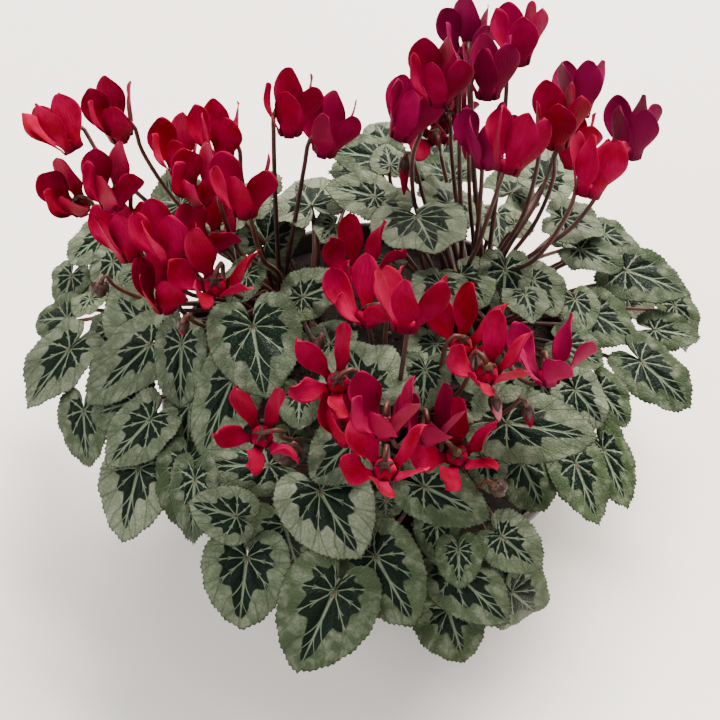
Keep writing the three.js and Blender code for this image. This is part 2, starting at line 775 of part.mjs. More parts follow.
for (const plant of plants) {
  addNode(`tuber_${plant}`, tuberSolid(plant), "#5b4030", 0.9);
  const mine = flowers.filter((flower) => flower.plant === plant);
  const hanging = [...buds, ...capsules].filter((bud) => bud.plant === plant);
  takeSlots([...mine, ...hanging], plant, (item) => item.seat);
  const stalks = mine.flatMap((flower) => [
    rod(stalkWay(flower), STALK.radius, STALK.sides),
    calyxSolid(flower),
  ]);
  stalks.push(...hanging.map((bud) => rod(budWay(bud), STALK.radius, STALK.sides)));
  stalks.push(...capsules.filter((bud) => bud.plant === plant).map((bud) => budSolid(bud, -1.5)));
  const bundle = wasm.Manifold.union([plugSolid(plant), ...stalks]).simplify(SLIVER);
  addNode(`flower_stalks_${plant}`, bundle, "#4a241c", 0.6);
}

const passing = [...flowers.map(stalkWay), ...[...buds, ...capsules].map(budWay)].map((way) =>
  rod(way, STALK.radius + STALK.clearance, STALK.sides),
);

for (const plant of plants) {
  const own = leaves.filter((leaf) => nearestPlant(leaf.junction) === plant);
  takeSlots(own, plant, (leaf) => leaf.junction);
  const parts = own.flatMap((leaf) => [
    bladeSolid(leaf),
    rod(petioleWay(leaf, plant), PETIOLE.radius, PETIOLE.sides),
  ]);
  const grown = wasm.Manifold.union([collarSolid(plant), ...parts]);
  const clear = wasm.Manifold.difference([grown, ...passing]);
  addNode(`leaves_${plant}`, largest(clear.simplify(SLIVER)), "#6f8068", 0.6);
}

flowers.forEach((flower, i) => {
  addNode(`bloom_${String(i + 1).padStart(2, "0")}`, bloomSolid(flower), "#b0052f", 0.5);
});

buds.forEach((bud, i) => {
  addNode(`bud_${i + 1}`, budSolid(bud, GAP), "#b3123f", 0.5);
});

export default group;
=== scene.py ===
# %% Load the frame
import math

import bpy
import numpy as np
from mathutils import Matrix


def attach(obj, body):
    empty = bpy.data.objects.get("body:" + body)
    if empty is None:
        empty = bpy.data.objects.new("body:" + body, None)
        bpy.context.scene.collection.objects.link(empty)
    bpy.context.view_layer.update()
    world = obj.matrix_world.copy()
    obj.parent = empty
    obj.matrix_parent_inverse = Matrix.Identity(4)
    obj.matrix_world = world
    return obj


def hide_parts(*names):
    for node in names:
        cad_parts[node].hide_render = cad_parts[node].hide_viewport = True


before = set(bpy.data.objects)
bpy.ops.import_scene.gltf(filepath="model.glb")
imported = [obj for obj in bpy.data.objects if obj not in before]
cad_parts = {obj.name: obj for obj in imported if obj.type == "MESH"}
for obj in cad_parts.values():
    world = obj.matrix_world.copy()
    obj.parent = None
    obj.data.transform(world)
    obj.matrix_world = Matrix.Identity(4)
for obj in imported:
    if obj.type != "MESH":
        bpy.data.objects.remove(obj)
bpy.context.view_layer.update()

# %% [markdown]
# # A potted cyclamen
#
# This lesson dresses a bowl of three small florist's cyclamens: heart-shaped leaves marked
# with silver, and crimson flowers with their petals swept up. The solids of the frame are
# plain plates and rods. Each of them is replaced here by a finer surface of the same form.
#
# Every length is in millimetres until a mesh is made, when it becomes metres.

# %% [markdown]
# ## The camera
#
# The plant is seen from the front and well above, so that the leaves spread below the
# flowers. Leaves and flowers are placed by the same sight, so the camera stands at its eye:
# 54 degrees above the horizon and 1.1 m from the bowl. A long lens keeps the upright
# flowers upright. 720 pixels cover 360 mm at that distance, which gives the focal length.

# %% Camera
SIGHT = {"elevation": 54, "distance": 1100, "unit": 0.5, "middle": 360}
AIM = np.array([-7.5, 15.5, 88.0])
rise = math.radians(SIGHT["elevation"])
SIGHT_RIGHT = np.array([1.0, 0.0, 0.0])
SIGHT_UP = np.array([0.0, math.sin(rise), math.cos(rise)])
SIGHT_BACK = np.array([0.0, -math.cos(rise), math.sin(rise)])
EYE = AIM + SIGHT_BACK * SIGHT["distance"]
SENSOR = 36.0

lens = bpy.data.cameras.new("camera")
lens.sensor_width = SENSOR
lens.lens = SENSOR * SIGHT["distance"] / (2 * SIGHT["middle"] * SIGHT["unit"])
lens.clip_start, lens.clip_end = 0.05, 20
camera = bpy.data.objects.new("camera", lens)
camera.location = EYE / 1000
camera.rotation_euler = (math.pi / 2 - rise, 0, 0)
bpy.context.scene.collection.objects.link(camera)
bpy.context.scene.camera = camera
print("camera at", [round(float(c)) for c in EYE], "mm, lens", round(lens.lens), "mm")

# %% [markdown]
# ## Where leaves and flowers are
#
# Each leaf is listed as it is seen: its junction with the stalk, its tip, its width, and a
# layer that says how far it stands over the others. The leaves of a cyclamen hold up a low
# dome, so a junction is where its line of sight meets that dome. The tip is then the point
# on its own line of sight that is one blade's length away. These are the rules by which the
# solids were placed, so the finer leaves land on the plain ones.

# %% The canopy dome and points along a sight
CANOPY = {"middle": (-8, -5), "half": (172, 158), "top": 150, "drop": 92, "power": 2.4,
          "layer": 4, "shoulder": 0.85, "reach": 1.06, "back": 28}
CROWNS = {"left": (-50, 38), "right": (48, 45), "front": (15, -45)}
UP = np.array([0.0, 0.0, 1.0])


def unit(v):
    """A vector divided by its length."""
    return v / np.linalg.norm(v)


def ray_of(place):
    """Direction from the eye through a sight place (across, down), one unit deep."""
    scale = SIGHT["unit"] / SIGHT["distance"]
    across, down = place[0] - SIGHT["middle"], SIGHT["middle"] - place[1]
    return -SIGHT_BACK + SIGHT_RIGHT * across * scale + SIGHT_UP * down * scale


def at_height(place, z):
    """Where the line of sight is z above the floor: eye + ray times (z - eye's z) / ray's z."""
    ray = ray_of(place)
    return EYE + ray * (z - EYE[2]) / ray[2]


def canopy_share(x, y):
    """Distance from the dome's middle as a share of its half widths: 1 is the dome's foot."""
    (mid_x, mid_y), (half_x, half_y) = CANOPY["middle"], CANOPY["half"]
    return np.hypot((x - mid_x) / half_x, (y - mid_y) / half_y)


def canopy_height(x, y):
    """Top, less the drop times share to the power 2.4 up to the shoulder and straight beyond
    it, plus a rise behind that grows with the square of y."""
    out = canopy_share(x, y)
    inside = np.minimum(out, CANOPY["shoulder"])
    back = CANOPY["back"] * (np.maximum(y, 0) / CANOPY["half"][1]) ** 2
    return CANOPY["top"] + back - CANOPY["drop"] * (inside ** CANOPY["power"] + 1.3 * (out - inside))


def canopy_normal(x, y):
    """Upward normal of the dome, from the height's differences over 1 mm."""
    slope_x = canopy_height(x + 0.5, y) - canopy_height(x - 0.5, y)
    slope_y = canopy_height(x, y + 0.5) - canopy_height(x, y - 0.5)
    return unit(np.array([-slope_x, -slope_y, 1.0]))


def on_canopy(place, lift):
    """The first point down a sight that meets the dome raised by lift, or the nearest to it."""
    z = np.arange(CANOPY["top"] + 45, 20, -0.5)
    ray = ray_of(place)
    points = EYE + ray * ((z - EYE[2]) / ray[2])[:, None]
    over = z - canopy_height(points[:, 0], points[:, 1]) - lift
    inside = canopy_share(points[:, 0], points[:, 1]) <= CANOPY["reach"]
    meets = np.flatnonzero(inside & (over <= 0))
    pick = meets[0] if len(meets) else np.argmin(np.where(inside, over, np.inf))
    return points[pick]


def at_reach(place, start, reach, cost):
    """The point of a sight at a given reach from start: of the two, the one of lower cost."""
    ray = unit(ray_of(place))
    foot = EYE + ray * np.dot(start - EYE, ray)
    half = math.sqrt(max(reach * reach - np.dot(foot - start, foot - start), 0))
    far, near = foot + ray * half, foot - ray * half
    return far if cost(far) <= cost(near) else near


def draw(i, k):
    """A number from 0 to 1, always the same for i and k: the fraction of
    43758.5453 sin(12.9898 i + 78.233 k)."""
    value = math.sin(i * 12.9898 + k * 78.233) * 43758.5453
    return value - math.floor(value)


def nearest_plant(point):
    """Name of the plant whose crown stands nearest to a point."""
    return min(CROWNS, key=lambda name: math.hypot(point[0] - CROWNS[name][0], point[1] - CROWNS[name][1]))


print("dome:", CANOPY["top"], "mm high in the middle,", round(float(canopy_height(0, -150))), "mm near the front")

# %% [markdown]
# ## The leaves
#
# A leaf is one row: where its junction and its tip are seen, how wide it is, and its layer.
# Rows keep the plant open to change: to move a leaf, its numbers are changed, and blade and
# stalk follow. The far side can't be seen from the front, so its leaves are listed by
# their turn about the bowl instead.

# %% Leaves as they are seen
# Junction across and down, tip across and down, width, layer.
LEAVES = [
    (103, 236, 68, 262, 50, 4), (72, 276, 58, 309, 44, 0), (90, 300, 78, 316, 36, 2),
    (113, 262, 97, 300, 45, 2), (147, 331, 109, 286, 80, 0), (150, 345, 84, 402, 75, 3),
    (70, 350, 22, 404, 70, 4), (110, 330, 81, 339, 45, 1), (84, 411, 85, 468, 60, 0),
    (135, 402, 86, 414, 70, 1), (150, 420, 107, 466, 65, 3), (139, 469, 118, 541, 80, 2),
    (188, 465, 178, 528, 65, 1), (195, 480, 192, 543, 50, 5), (190, 405, 185, 455, 50, 1),
    (233, 379, 199, 458, 70, 3), (268, 465, 193, 466, 65, 1), (253, 327, 265, 399, 98, 6),
    (182, 345, 178, 410, 58, 5), (247, 275, 228, 306, 40, 6), (267, 241, 303, 195, 70, -2),
    (303, 297, 347, 277, 55, 2), (180, 235, 165, 170, 70, -2), (225, 235, 240, 196, 60, -2),
    (150, 262, 118, 285, 50, 1), (335, 225, 320, 240, 40, 1), (374, 197, 327, 182, 54, 5),
    (417, 218, 435, 250, 98, 6), (385, 140, 375, 118, 50, 0), (380, 159, 325, 148, 60, 2),
    (390, 165, 385, 143, 40, 3), (452, 177, 418, 155, 55, 1), (440, 165, 445, 128, 65, 0),
    (462, 276, 487, 305, 60, 3), (497, 215, 502, 243, 60, -2), (515, 225, 535, 225, 30, 1),
    (545, 180, 560, 148, 60, 3), (563, 219, 607, 230, 55, 6), (560, 230, 575, 240, 40, 2),
    (605, 235, 642, 255, 44, 2), (580, 250, 625, 266, 50, 4), (626, 271, 690, 290, 65, 5),
    (674, 305, 690, 350, 48, 3), (593, 314, 638, 338, 66, 0), (641, 362, 692, 404, 70, 2),
    (655, 330, 700, 335, 45, 3), (533, 280, 560, 312, 58, 2), (575, 300, 588, 330, 50, 2),
    (525, 295, 535, 318, 50, 5), (505, 270, 503, 318, 55, 5), (565, 345, 605, 363, 52, 2),
    (540, 372, 547, 410, 46, -2), (575, 390, 605, 425, 56, 3), (600, 390, 628, 425, 50, 1),
    (507, 423, 600, 438, 80, 5), (575, 463, 602, 524, 62, 2), (603, 450, 628, 508, 55, 1),
    (522, 463, 545, 511, 70, 0), (425, 487, 490, 519, 65, 3), (351, 443, 310, 482, 70, 6),
    (345, 400, 315, 425, 60, 0), (320, 492, 360, 558, 97, 4), (236, 516, 187, 503, 60, 5),
    (247, 558, 238, 630, 92, 3), (285, 525, 300, 580, 90, 1), (334, 592, 298, 673, 102, 5),
    (376, 557, 415, 626, 85, 2), (448, 610, 466, 665, 80, -2), (454, 572, 508, 622, 70, 1),
    (490, 545, 510, 590, 55, -2), (502, 537, 541, 570, 60, 3), (511, 592, 540, 616, 76, 0),
    (458, 550, 460, 590, 50, 3), (386, 500, 386, 522, 40, 1), (366, 388, 343, 336, 90, 5),
    (330, 345, 322, 320, 60, -1), (300, 395, 298, 430, 50, 2), (290, 440, 282, 472, 45, -1),
    (460, 405, 462, 422, 50, -2), (425, 370, 422, 412, 55, 4), (435, 345, 430, 375, 60, 1),
    (480, 360, 480, 390, 75, -2), (500, 380, 510, 400, 50, -2), (440, 285, 435, 320, 60, 5),
    (385, 262, 388, 278, 45, 0), (486, 462, 492, 492, 42, 0), (436, 525, 440, 562, 46, 1),
]
# Leaves of the far side: turn about the bowl in degrees, share of the dome's half width,
# width in mm, layer.
FAR_LEAVES = [
    (28, 0.9, 30, -1), (44, 0.88, 33, -2), (60, 0.93, 31, -1), (76, 0.9, 34, -2), (90, 0.8, 32, -1),
    (104, 0.62, 33, -1), (118, 0.64, 32, 2), (132, 0.78, 34, 4), (146, 0.9, 32, -2), (158, 0.94, 30, -1),
    (62, 0.55, 36, 2), (84, 0.5, 38, 0), (108, 0.44, 38, 3), (130, 0.54, 38, 4), (150, 0.62, 36, -2),
]
BLADE = {"thick": 0.55, "tip": 0.77, "droop": 0.16, "ripple": 0.07, "cup": 0.1, "turn": 0.9}


def leaf_frame(junction, tip, width, seed, layer):
    """A leaf's place: forward runs to the tip, and normal lies between the dome's and the
    front, where the light comes from, square to forward."""
    forward = tip - junction
    length = np.linalg.norm(forward)
    forward = forward / length
    lean = canopy_normal(junction[0], junction[1]) + SIGHT_BACK * BLADE["turn"]
    normal = unit(lean - forward * np.dot(lean, forward))
    return {"junction": junction, "forward": forward, "normal": normal, "side": np.cross(forward, normal),
            "width": width, "length": length / BLADE["tip"], "seed": seed, "layer": layer}


def seen_leaf(row, seed):
    """Places a leaf that the sight reaches."""
    jx, jy, tx, ty, wide, layer = row
    lift = layer * CANOPY["layer"]
    junction = on_canopy((jx, jy), lift)
    depth = -np.dot(junction - EYE, SIGHT_BACK)
    width = wide * SIGHT["unit"] * depth / SIGHT["distance"]
    tip = at_reach((tx, ty), junction, BLADE["tip"] * width,
                   lambda p: abs(p[2] - canopy_height(p[0], p[1]) - lift))
    # Painted shade: leaves low on the plant and at its right edge are painted greener and
    # darker, for the shade they stand in.
    green = 0.3 * min(max((jy - 330) / 250, -0.7), 1) + 0.2 * (jx > 560)
    return {**leaf_frame(junction, tip, width, seed, layer), "green": green}


def far_leaf(row, seed):
    """A far leaf hangs outward from its place on the dome."""
    turn, share, width, layer = row
    dx = share * CANOPY["half"][0] * math.cos(math.radians(turn))
    dy = share * CANOPY["half"][1] * math.sin(math.radians(turn))
    x, y = CANOPY["middle"][0] + dx, CANOPY["middle"][1] + dy
    junction = np.array([x, y, canopy_height(x, y) + layer * CANOPY["layer"]])
    step = BLADE["tip"] * width / math.hypot(dx, dy)
    tip = np.array([x + dx * step, y + dy * step, 0.0])
    tip[2] = junction[2] + 0.8 * (canopy_height(tip[0], tip[1]) - canopy_height(x, y))
    tip = junction + unit(tip - junction) * BLADE["tip"] * width
    return leaf_frame(junction, tip, width, seed, layer)


leaves = [seen_leaf(row, i) for i, row in enumerate(LEAVES)]
leaves += [far_leaf(row, len(LEAVES) + i) for i, row in enumerate(FAR_LEAVES)]
for leaf in leaves:
    leaf["plant"] = nearest_plant(leaf["junction"])
print(len(leaves), "leaves,", {name: sum(leaf["plant"] == name for leaf in leaves) for name in CROWNS})

# %% [markdown]
# ## Flowers, buds and seed heads
#
# A cyclamen flower hangs its nose down and throws its five petals up. It is listed by its
# seat, where the stalk enters, the middle of its petals' tops, the seat's height, how far
# the petals open, and its plant. A bud or seed head is listed by its tip, the top of its
# stalk's arch, the arch's height, its length, its width and its plant.

# %% Flowers, buds and seed heads as they are seen
TOPS_REACH = 25    # from the nose to the middle of the petals' tops
SEAT_LIFT = 4      # from the place read for the nose up to the seat
NECK = 7           # from an arch down to the top of what hangs from it
BUD_GIRTH = 0.74   # a rolled bud is slimmer than the calyx whose width is listed
FLOWERS = [
    (72, 145, 45, 100, 174, 13, "left"), (120, 133, 108, 92, 200, 13, "left"),
    (80, 205, 60, 178, 160, 13, "left"), (112, 200, 110, 160, 204, 13, "left"),
    (130, 253, 114, 205, 174, 13, "left"), (172, 255, 158, 208, 190, 13, "left"),
    (180, 168, 178, 128, 160, 14, "left"), (222, 155, 219, 108, 185, 13, "left"),
    (200, 195, 198, 163, 203, 12, "left"), (245, 208, 242, 162, 228, 16, "left"),
    (218, 240, 216, 212, 158, 16, "left"), (165, 303, 162, 262, 162, 16, "left"),
    (215, 285, 213, 255, 204, 30, "left"), (290, 127, 290, 80, 224, 13, "left"),
    (325, 148, 333, 103, 195, 13, "left"), (402, 133, 420, 85, 204, 13, "right"),
    (440, 97, 440, 50, 236, 13, "right"), (468, 52, 468, 15, 189, 13, "right"),
    (488, 92, 488, 40, 219, 13, "right"), (518, 58, 518, 8, 212, 13, "right"),
    (487, 160, 487, 112, 210, 12, "right"), (508, 167, 526, 112, 238, 13, "right"),
    (557, 140, 555, 93, 216, 13, "right"), (578, 112, 578, 60, 180, 14, "right"),
    (572, 158, 573, 118, 182, 12, "right"), (588, 191, 604, 130, 218, 13, "right"),
    (630, 152, 633, 102, 182, 13, "right"), (447, 118, 447, 94, 186, 12, "right"),
    (437, 135, 435, 121, 157, 24, "right"), (360, 272, 367, 240, 164, 28, "front"),
    (368, 316, 371, 275, 178, 30, "front"), (405, 325, 413, 270, 200, 24, "front"),
    (462, 345, 470, 312, 172, 32, "front"), (487, 372, 492, 340, 212, 30, "front"),
    (548, 375, 550, 330, 185, 28, "right"), (338, 382, 336, 362, 197, 36, "front"),
    (348, 435, 346, 393, 167, 12, "front"), (385, 427, 384, 390, 217, 16, "front"),
    (385, 469, 383, 443, 193, 30, "front"), (428, 433, 430, 405, 180, 14, "front"),
    (457, 455, 457, 440, 154, 34, "front"), (262, 436, 262, 425, 165, 32, "front"),
]
BUDS = [
    (182, 336, 184, 318, 182, 15, 6, "left"), (310, 354, 324, 337, 178, 15, 6, "left"),
    (404, 198, 405, 150, 190, 22, 6.5, "right"), (466, 162, 466, 130, 200, 17, 6, "right"),
    (500, 424, 493, 390, 178, 18, 6.5, "right"), (531, 430, 526, 400, 172, 16, 6, "front"),
]
SEED_HEADS = [
    (98, 300, 101, 277, 150, 9, 8, "left"), (380, 496, 390, 468, 158, 10, 9, "front"),
    (507, 492, 490, 484, 150, 9, 7, "front"), (277, 464, 290, 446, 155, 10, 9, "front"),
]


def flower_place(row, seed):
    """A flower's own frame: axis from the nose to the petals' tops, the seat up it from the
    place read for the nose, and gap, the side of the flower on which its stalk comes up."""
    nx, ny, tx, ty, height, opening, plant = row
    seat = at_height((nx, ny), height)
    axis = unit(at_reach((tx, ty), seat, TOPS_REACH, lambda p: -p[2]) - seat)
    seat = seat + axis * SEAT_LIFT
    home = unit(np.array([*CROWNS[plant], height - 60.0]) - seat)
    gap = unit(home - axis * np.dot(home, axis))
    return {"seat": seat, "axis": axis, "gap": gap, "cross": np.cross(axis, gap),
            "open": math.radians(opening), "plant": plant, "seed": seed}


def in_flower(flower, reach, turn, height):
    """Points in a flower's own frame: reach out at a turn about the axis, and height along it."""
    reach, turn, height = (np.asarray(v, float)[..., None] for v in np.broadcast_arrays(reach, turn, height))
    return (flower["seat"] + flower["gap"] * reach * np.cos(turn) + flower["cross"] * reach * np.sin(turn)
            + flower["axis"] * height)


def bud_place(row, girth):
    """A bud or seed head hangs from the top of its arch, its tip one length and one neck
    below. Its radius is girth times half the listed width."""
    tx, ty, ax, ay, height, length, width, plant = row
    arch = at_height((ax, ay), height)
    tip = at_reach((tx, ty), arch, length + NECK, lambda p: p[2])
    return {"arch": arch, "seat": arch, "tip": tip, "length": length, "radius": girth * width / 2,
            "plant": plant}


flowers = [flower_place(row, i) for i, row in enumerate(FLOWERS)]
buds = [bud_place(row, BUD_GIRTH) for row in BUDS]
seed_heads = [bud_place(row, 1.0) for row in SEED_HEADS]


def take_slots(own, plant, key):
    """Gives each leaf or flower of a plant its place round the crown, in order of direction."""
    cx, cy = CROWNS[plant]
    ordered = sorted(own, key=lambda item: math.atan2(item[key][1] - cy, item[key][0] - cx))
    for i, item in enumerate(ordered):
        item["slot"] = -math.pi + 2 * math.pi * (i + 0.5) / len(ordered)


for plant in CROWNS:
    take_slots([leaf for leaf in leaves if leaf["plant"] == plant], plant, "junction")
    take_slots([item for item in flowers + buds + seed_heads if item["plant"] == plant], plant, "seat")
print(len(flowers), "flowers,", len(buds), "buds,", len(seed_heads), "seed heads")

# %% [markdown]
# ## Surfaces out of grids
#
# Every piece is a few grids of points: a function of two parameters, worked out for the
# whole grid at once. A bundle gathers the grids of one piece, with the values that its
# material reads, and makes one mesh of them. A thin part such as a blade is two grids back
# to back, joined round their edge, so that it is closed as the real one is.

# %% Grid helpers
def ring_quads(rows, columns):
    """Corners of the cells between closed rings: (r, c), (r, c+1), (r+1, c+1), (r+1, c)."""
    here = np.arange(rows - 1)[:, None] * columns
    c = np.arange(columns)[None, :]
    n = (c + 1) % columns
    return np.stack([here + c, here + n, here + columns + n, here + columns + c], -1).reshape(-1, 4)


def fan(pole, ring):
    """Triangles from one pole to each pair of neighbours on a closed ring."""
    return np.stack([np.full(len(ring), pole), ring, np.roll(ring, -1)], -1)


class Bundle:
    """The surfaces of one piece, gathered until they are made one mesh."""

    def __init__(self):
        """Starts empty: lists of arrays, and the number of points so far."""
        self.points, self.quads, self.triangles = [], [], []
        self.quad_skins, self.triangle_skins, self.carried, self.count = [], [], {}, 0

    def add(self, points, triangles, triangle_skins, quads=np.zeros((0, 4), int), quad_skins=(), **carried):
        """Adds points, faces that count from 0, the skin of each face, and the values that
        each point carries."""
        self.points.append(points)
        self.quads.append(quads + self.count)
        self.triangles.append(triangles + self.count)
        self.quad_skins.append(np.asarray(quad_skins, int))
        self.triangle_skins.append(triangle_skins)
        for name, values in carried.items():
            self.carried.setdefault(name, []).append(np.broadcast_to(values, (len(points), 3)))
        self.count += len(points)

    def piece(self, name, skins, nodes):
        """Makes one mesh of all the grids, in metres, gives it to the frame, and returns the
        number of its triangles. Quads come first, then triangles."""
        quads, triangles = np.concatenate(self.quads), np.concatenate(self.triangles)
        corners = np.concatenate([quads.ravel(), triangles.ravel()]).astype(np.int32)
        starts = np.concatenate([4 * np.arange(len(quads)), 4 * len(quads) + 3 * np.arange(len(triangles))])
        mesh = bpy.data.meshes.new(name)
        mesh.vertices.add(self.count)
        mesh.vertices.foreach_set("co", (np.concatenate(self.points) / 1000).astype(np.float32).ravel())
        mesh.loops.add(len(corners))
        mesh.loops.foreach_set("vertex_index", corners)
        mesh.polygons.add(len(starts))
        mesh.polygons.foreach_set("loop_start", starts.astype(np.int32))
        mesh.polygons.foreach_set("use_smooth", np.ones(len(starts), bool))
        skin_of = np.concatenate([np.concatenate(self.quad_skins), np.concatenate(self.triangle_skins)])
        mesh.polygons.foreach_set("material_index", skin_of.astype(np.int32))
        for key, values in self.carried.items():
            layer = mesh.attributes.new(key, "FLOAT_VECTOR", "POINT")
            layer.data.foreach_set("vector", np.concatenate(values).astype(np.float32).ravel())
        for skin in skins:
            mesh.materials.append(skin)
        mesh.update(calc_edges=True)
        mesh.validate()
        made = bpy.data.objects.new(name, mesh)
        bpy.context.scene.collection.objects.link(made)
        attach(made, "root")
        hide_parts(*nodes)
        return 2 * len(quads) + len(triangles)


print("grid of 3 rings of 4 points:", len(ring_quads(3, 4)), "quads")

# %% [markdown]
# ## Smooth ways
#
# Stalks are long, thin and never straight. A way is a curve through a few listed points: a
# cubic between each pair, whose slopes come from the neighbours and whose parameter is the
# root of the distance, so that a tight hook after a long run stays a hook. A tube is then a
# ring carried along the way by the smallest turns, so it never twists.

# %% Ways and tubes
def smooth_way(points, count):
    """Points at even distances on a curve through the listed points. Slopes are the weighted
    differences of the neighbours over a parameter that is the root of the distance."""
    points = np.asarray(points, float)
    gaps = np.sqrt(np.linalg.norm(np.diff(points, axis=0), axis=1)) + 1e-9
    t = np.concatenate([[0], np.cumsum(gaps)])
    secants = np.diff(points, axis=0) / gaps[:, None]
    inner = (secants[:-1] * gaps[1:, None] + secants[1:] * gaps[:-1, None]) / (gaps[:-1] + gaps[1:])[:, None]
    slopes = np.concatenate([secants[:1], inner, secants[-1:]])
    fine = np.linspace(0, t[-1], 40 * len(points))
    k = np.clip(np.searchsorted(t, fine, side="right") - 1, 0, len(gaps) - 1)
    s = ((fine - t[k]) / gaps[k])[:, None]
    g = gaps[k][:, None]
    curve = ((2 * s**3 - 3 * s**2 + 1) * points[k] + (s**3 - 2 * s**2 + s) * g * slopes[k]
             + (3 * s**2 - 2 * s**3) * points[k + 1] + (s**3 - s**2) * g * slopes[k + 1])
    run = np.concatenate([[0], np.cumsum(np.linalg.norm(np.diff(curve, axis=0), axis=1))])
    even = np.linspace(0, run[-1], count)
    return np.stack([np.interp(even, run, curve[:, i]) for i in range(points.shape[1])], -1)


def bezier(a, b, c, d, count):
    """Cubic Bezier through a and d with handles b and c: the sum of the four Bernstein shares."""
    t = np.linspace(0, 1, count)[:, None]
    return (1 - t) ** 3 * a + 3 * t * (1 - t) ** 2 * b + 3 * t**2 * (1 - t) * c + t**3 * d


def add_closed(bundle, rings, poles, skin=0, row_skins=None, **carried):
    """A closed skin: rings of points from one pole to the other. Seen from beyond the second
    pole, each ring runs against the clock, so that its faces point outwards. A carried value
    is given for every ring point and for both poles."""
    rows, columns = rings.shape[:2]
    ring = np.arange(columns)
    caps = np.concatenate([fan(rows * columns, ring[::-1]), fan(rows * columns + 1, (rows - 1) * columns + ring)])
    row_skins = np.full(rows - 1, skin) if row_skins is None else row_skins
    cap_skins = np.repeat([row_skins[0], row_skins[-1]], columns)
    values = {key: np.concatenate([grid.reshape(-1, 3), ends]) for key, (grid, ends) in carried.items()}
    bundle.add(np.concatenate([rings.reshape(-1, 3), poles]), caps, cap_skins,
               ring_quads(rows, columns), np.repeat(row_skins, columns), **values)


def shares(rings, tone=0.0):
    """The usual carried value: share of the way from pole to pole, and a tone of the part."""
    grid = np.zeros(rings.shape) + [0, tone, 0]
    grid[..., 0] = np.linspace(0, 1, len(rings))[:, None]
    return grid, np.array([[0, tone, 0], [1, tone, 0]], float)


def everywhere(value, rings):
    """A carried value that is the same at every ring point and at both poles."""
    return np.broadcast_to(value, rings.shape), np.tile(value, (2, 1))


def square_to(axis):
    """Two directions square to an axis: the world's axis that is furthest from it, made square
    to it, and the cross product of the two."""
    helper = np.eye(3)[np.argmin(np.abs(axis))]
    first = unit(helper - axis * np.dot(helper, axis))
    return first, np.cross(axis, first)


def add_tube(bundle, way, radii, sides):
    """A closed tube: rings of the given radii along a way, with a low cap at each end. Each
    ring's first direction is the last ring's, made square to the way again."""
    along = np.gradient(way, axis=0)
    along /= np.linalg.norm(along, axis=1)[:, None]
    first = np.zeros_like(way)
    helper = np.eye(3)[np.argmin(np.abs(along[0]))]
    for i, direction in enumerate(along):
        helper = unit(helper - direction * np.dot(helper, direction))
        first[i] = helper
    second = np.cross(along, first)
    turn = (2 * np.pi * np.arange(sides) / sides)[None, :, None]
    rings = way[:, None] + radii[:, None, None] * (first[:, None] * np.cos(turn) + second[:, None] * np.sin(turn))
    poles = np.stack([way[0] - along[0] * radii[0] * 0.5, way[-1] + along[-1] * radii[-1] * 0.5])
    add_closed(bundle, rings, poles, tone=shares(rings))


def turned_rings(profile, columns, base, axis, ripple=None):
    """Rings and poles of a profile of (radius, height) turned round an axis: base + radius
    (first cos turn + second sin turn) + axis height. The profile's first and last points lie
    on the axis. ripple(turn, share) multiplies the radius."""
    profile = np.asarray(profile, float)
    first, second = square_to(axis)
    turn = 2 * np.pi * np.arange(columns) / columns
    rows = len(profile) - 2
    radius = np.repeat(profile[1:-1, :1], columns, axis=1)
    if ripple is not None:
        radius = radius * ripple(turn[None, :], np.linspace(0, 1, rows)[:, None])
    round_it = first * np.cos(turn)[:, None] + second * np.sin(turn)[:, None]
    rings = base + radius[..., None] * round_it + axis * profile[1:-1, 1][:, None, None]
    return rings, np.stack([base + axis * profile[0, 1], base + axis * profile[-1, 1]])


def add_turned(bundle, profile, columns, base, axis=UP, ripple=None, tone=0.0, skin=0):
    """Adds a turned skin, as turned_rings makes it."""
    rings, poles = turned_rings(profile, columns, base, axis, ripple)
    add_closed(bundle, rings, poles, skin, tone=shares(rings, tone))


test_way = smooth_way([(0, 0, 0), (0, 0, 60), (8, 0, 66), (14, 0, 60)], 30)
print("a way of", len(test_way), "points turns over at", round(float(test_way[:, 2].max()), 1), "mm")


# %% [markdown]
# ## Materials: two helpers
#
# A material here is a small graph of nodes. One helper adds a node with its settings and
# links. Another turns a colour, written as the usual hex code of what the eye sees, into
# the linear numbers that the shader needs. Sizes in a pattern are real sizes: a noise of
# scale 1 has features about a metre across, so 1 / 0.003 gives features of 3 mm.

# %% Helpers for materials
def linear(code):
    """Hex code of a seen colour to linear values: (c + 0.055) / 1.055 to the power 2.4, or
    c / 12.92 when dark."""
    parts = np.array([int(code[i:i + 2], 16) / 255 for i in (1, 3, 5)])
    straight = np.where(parts <= 0.04045, parts / 12.92, ((parts + 0.055) / 1.055) ** 2.4)
    return (*[float(c) for c in straight], 1.0)


def add_node(skin, kind, sockets=None, **settings):
    """Adds a node to a material. Settings are the node's own options. Sockets maps an input,
    by name or number, to a value, or to another node's output, which is then linked."""
    made = skin.node_tree.nodes.new("ShaderNode" + kind)
    for name, value in settings.items():
        setattr(made, name, value)
    for key, value in (sockets or {}).items():
        if isinstance(value, bpy.types.NodeSocket):
            skin.node_tree.links.new(value, made.inputs[key])
        else:
            made.inputs[key].default_value = value
    return made


def new_skin(name, **surface):
    """A material with one Principled surface, whose own sockets are set from the keywords,
    and the point on the object that every pattern reads."""
    skin = bpy.data.materials.new(name)
    skin.use_nodes = True
    shader = skin.node_tree.nodes["Principled BSDF"]
    for key, value in surface.items():
        shader.inputs[key.replace("_", " ")].default_value = value
    place = add_node(skin, "TexCoord").outputs["Object"]
    return skin, shader, place


def mixed(skin, share, a, b):
    """Colour a where share is 0 and colour b where it is 1. Codes and links both serve."""
    values = [linear(c) if isinstance(c, str) else c for c in (a, b)]
    return add_node(skin, "Mix", {0: share, 6: values[0], 7: values[1]}, data_type="RGBA").outputs[2]


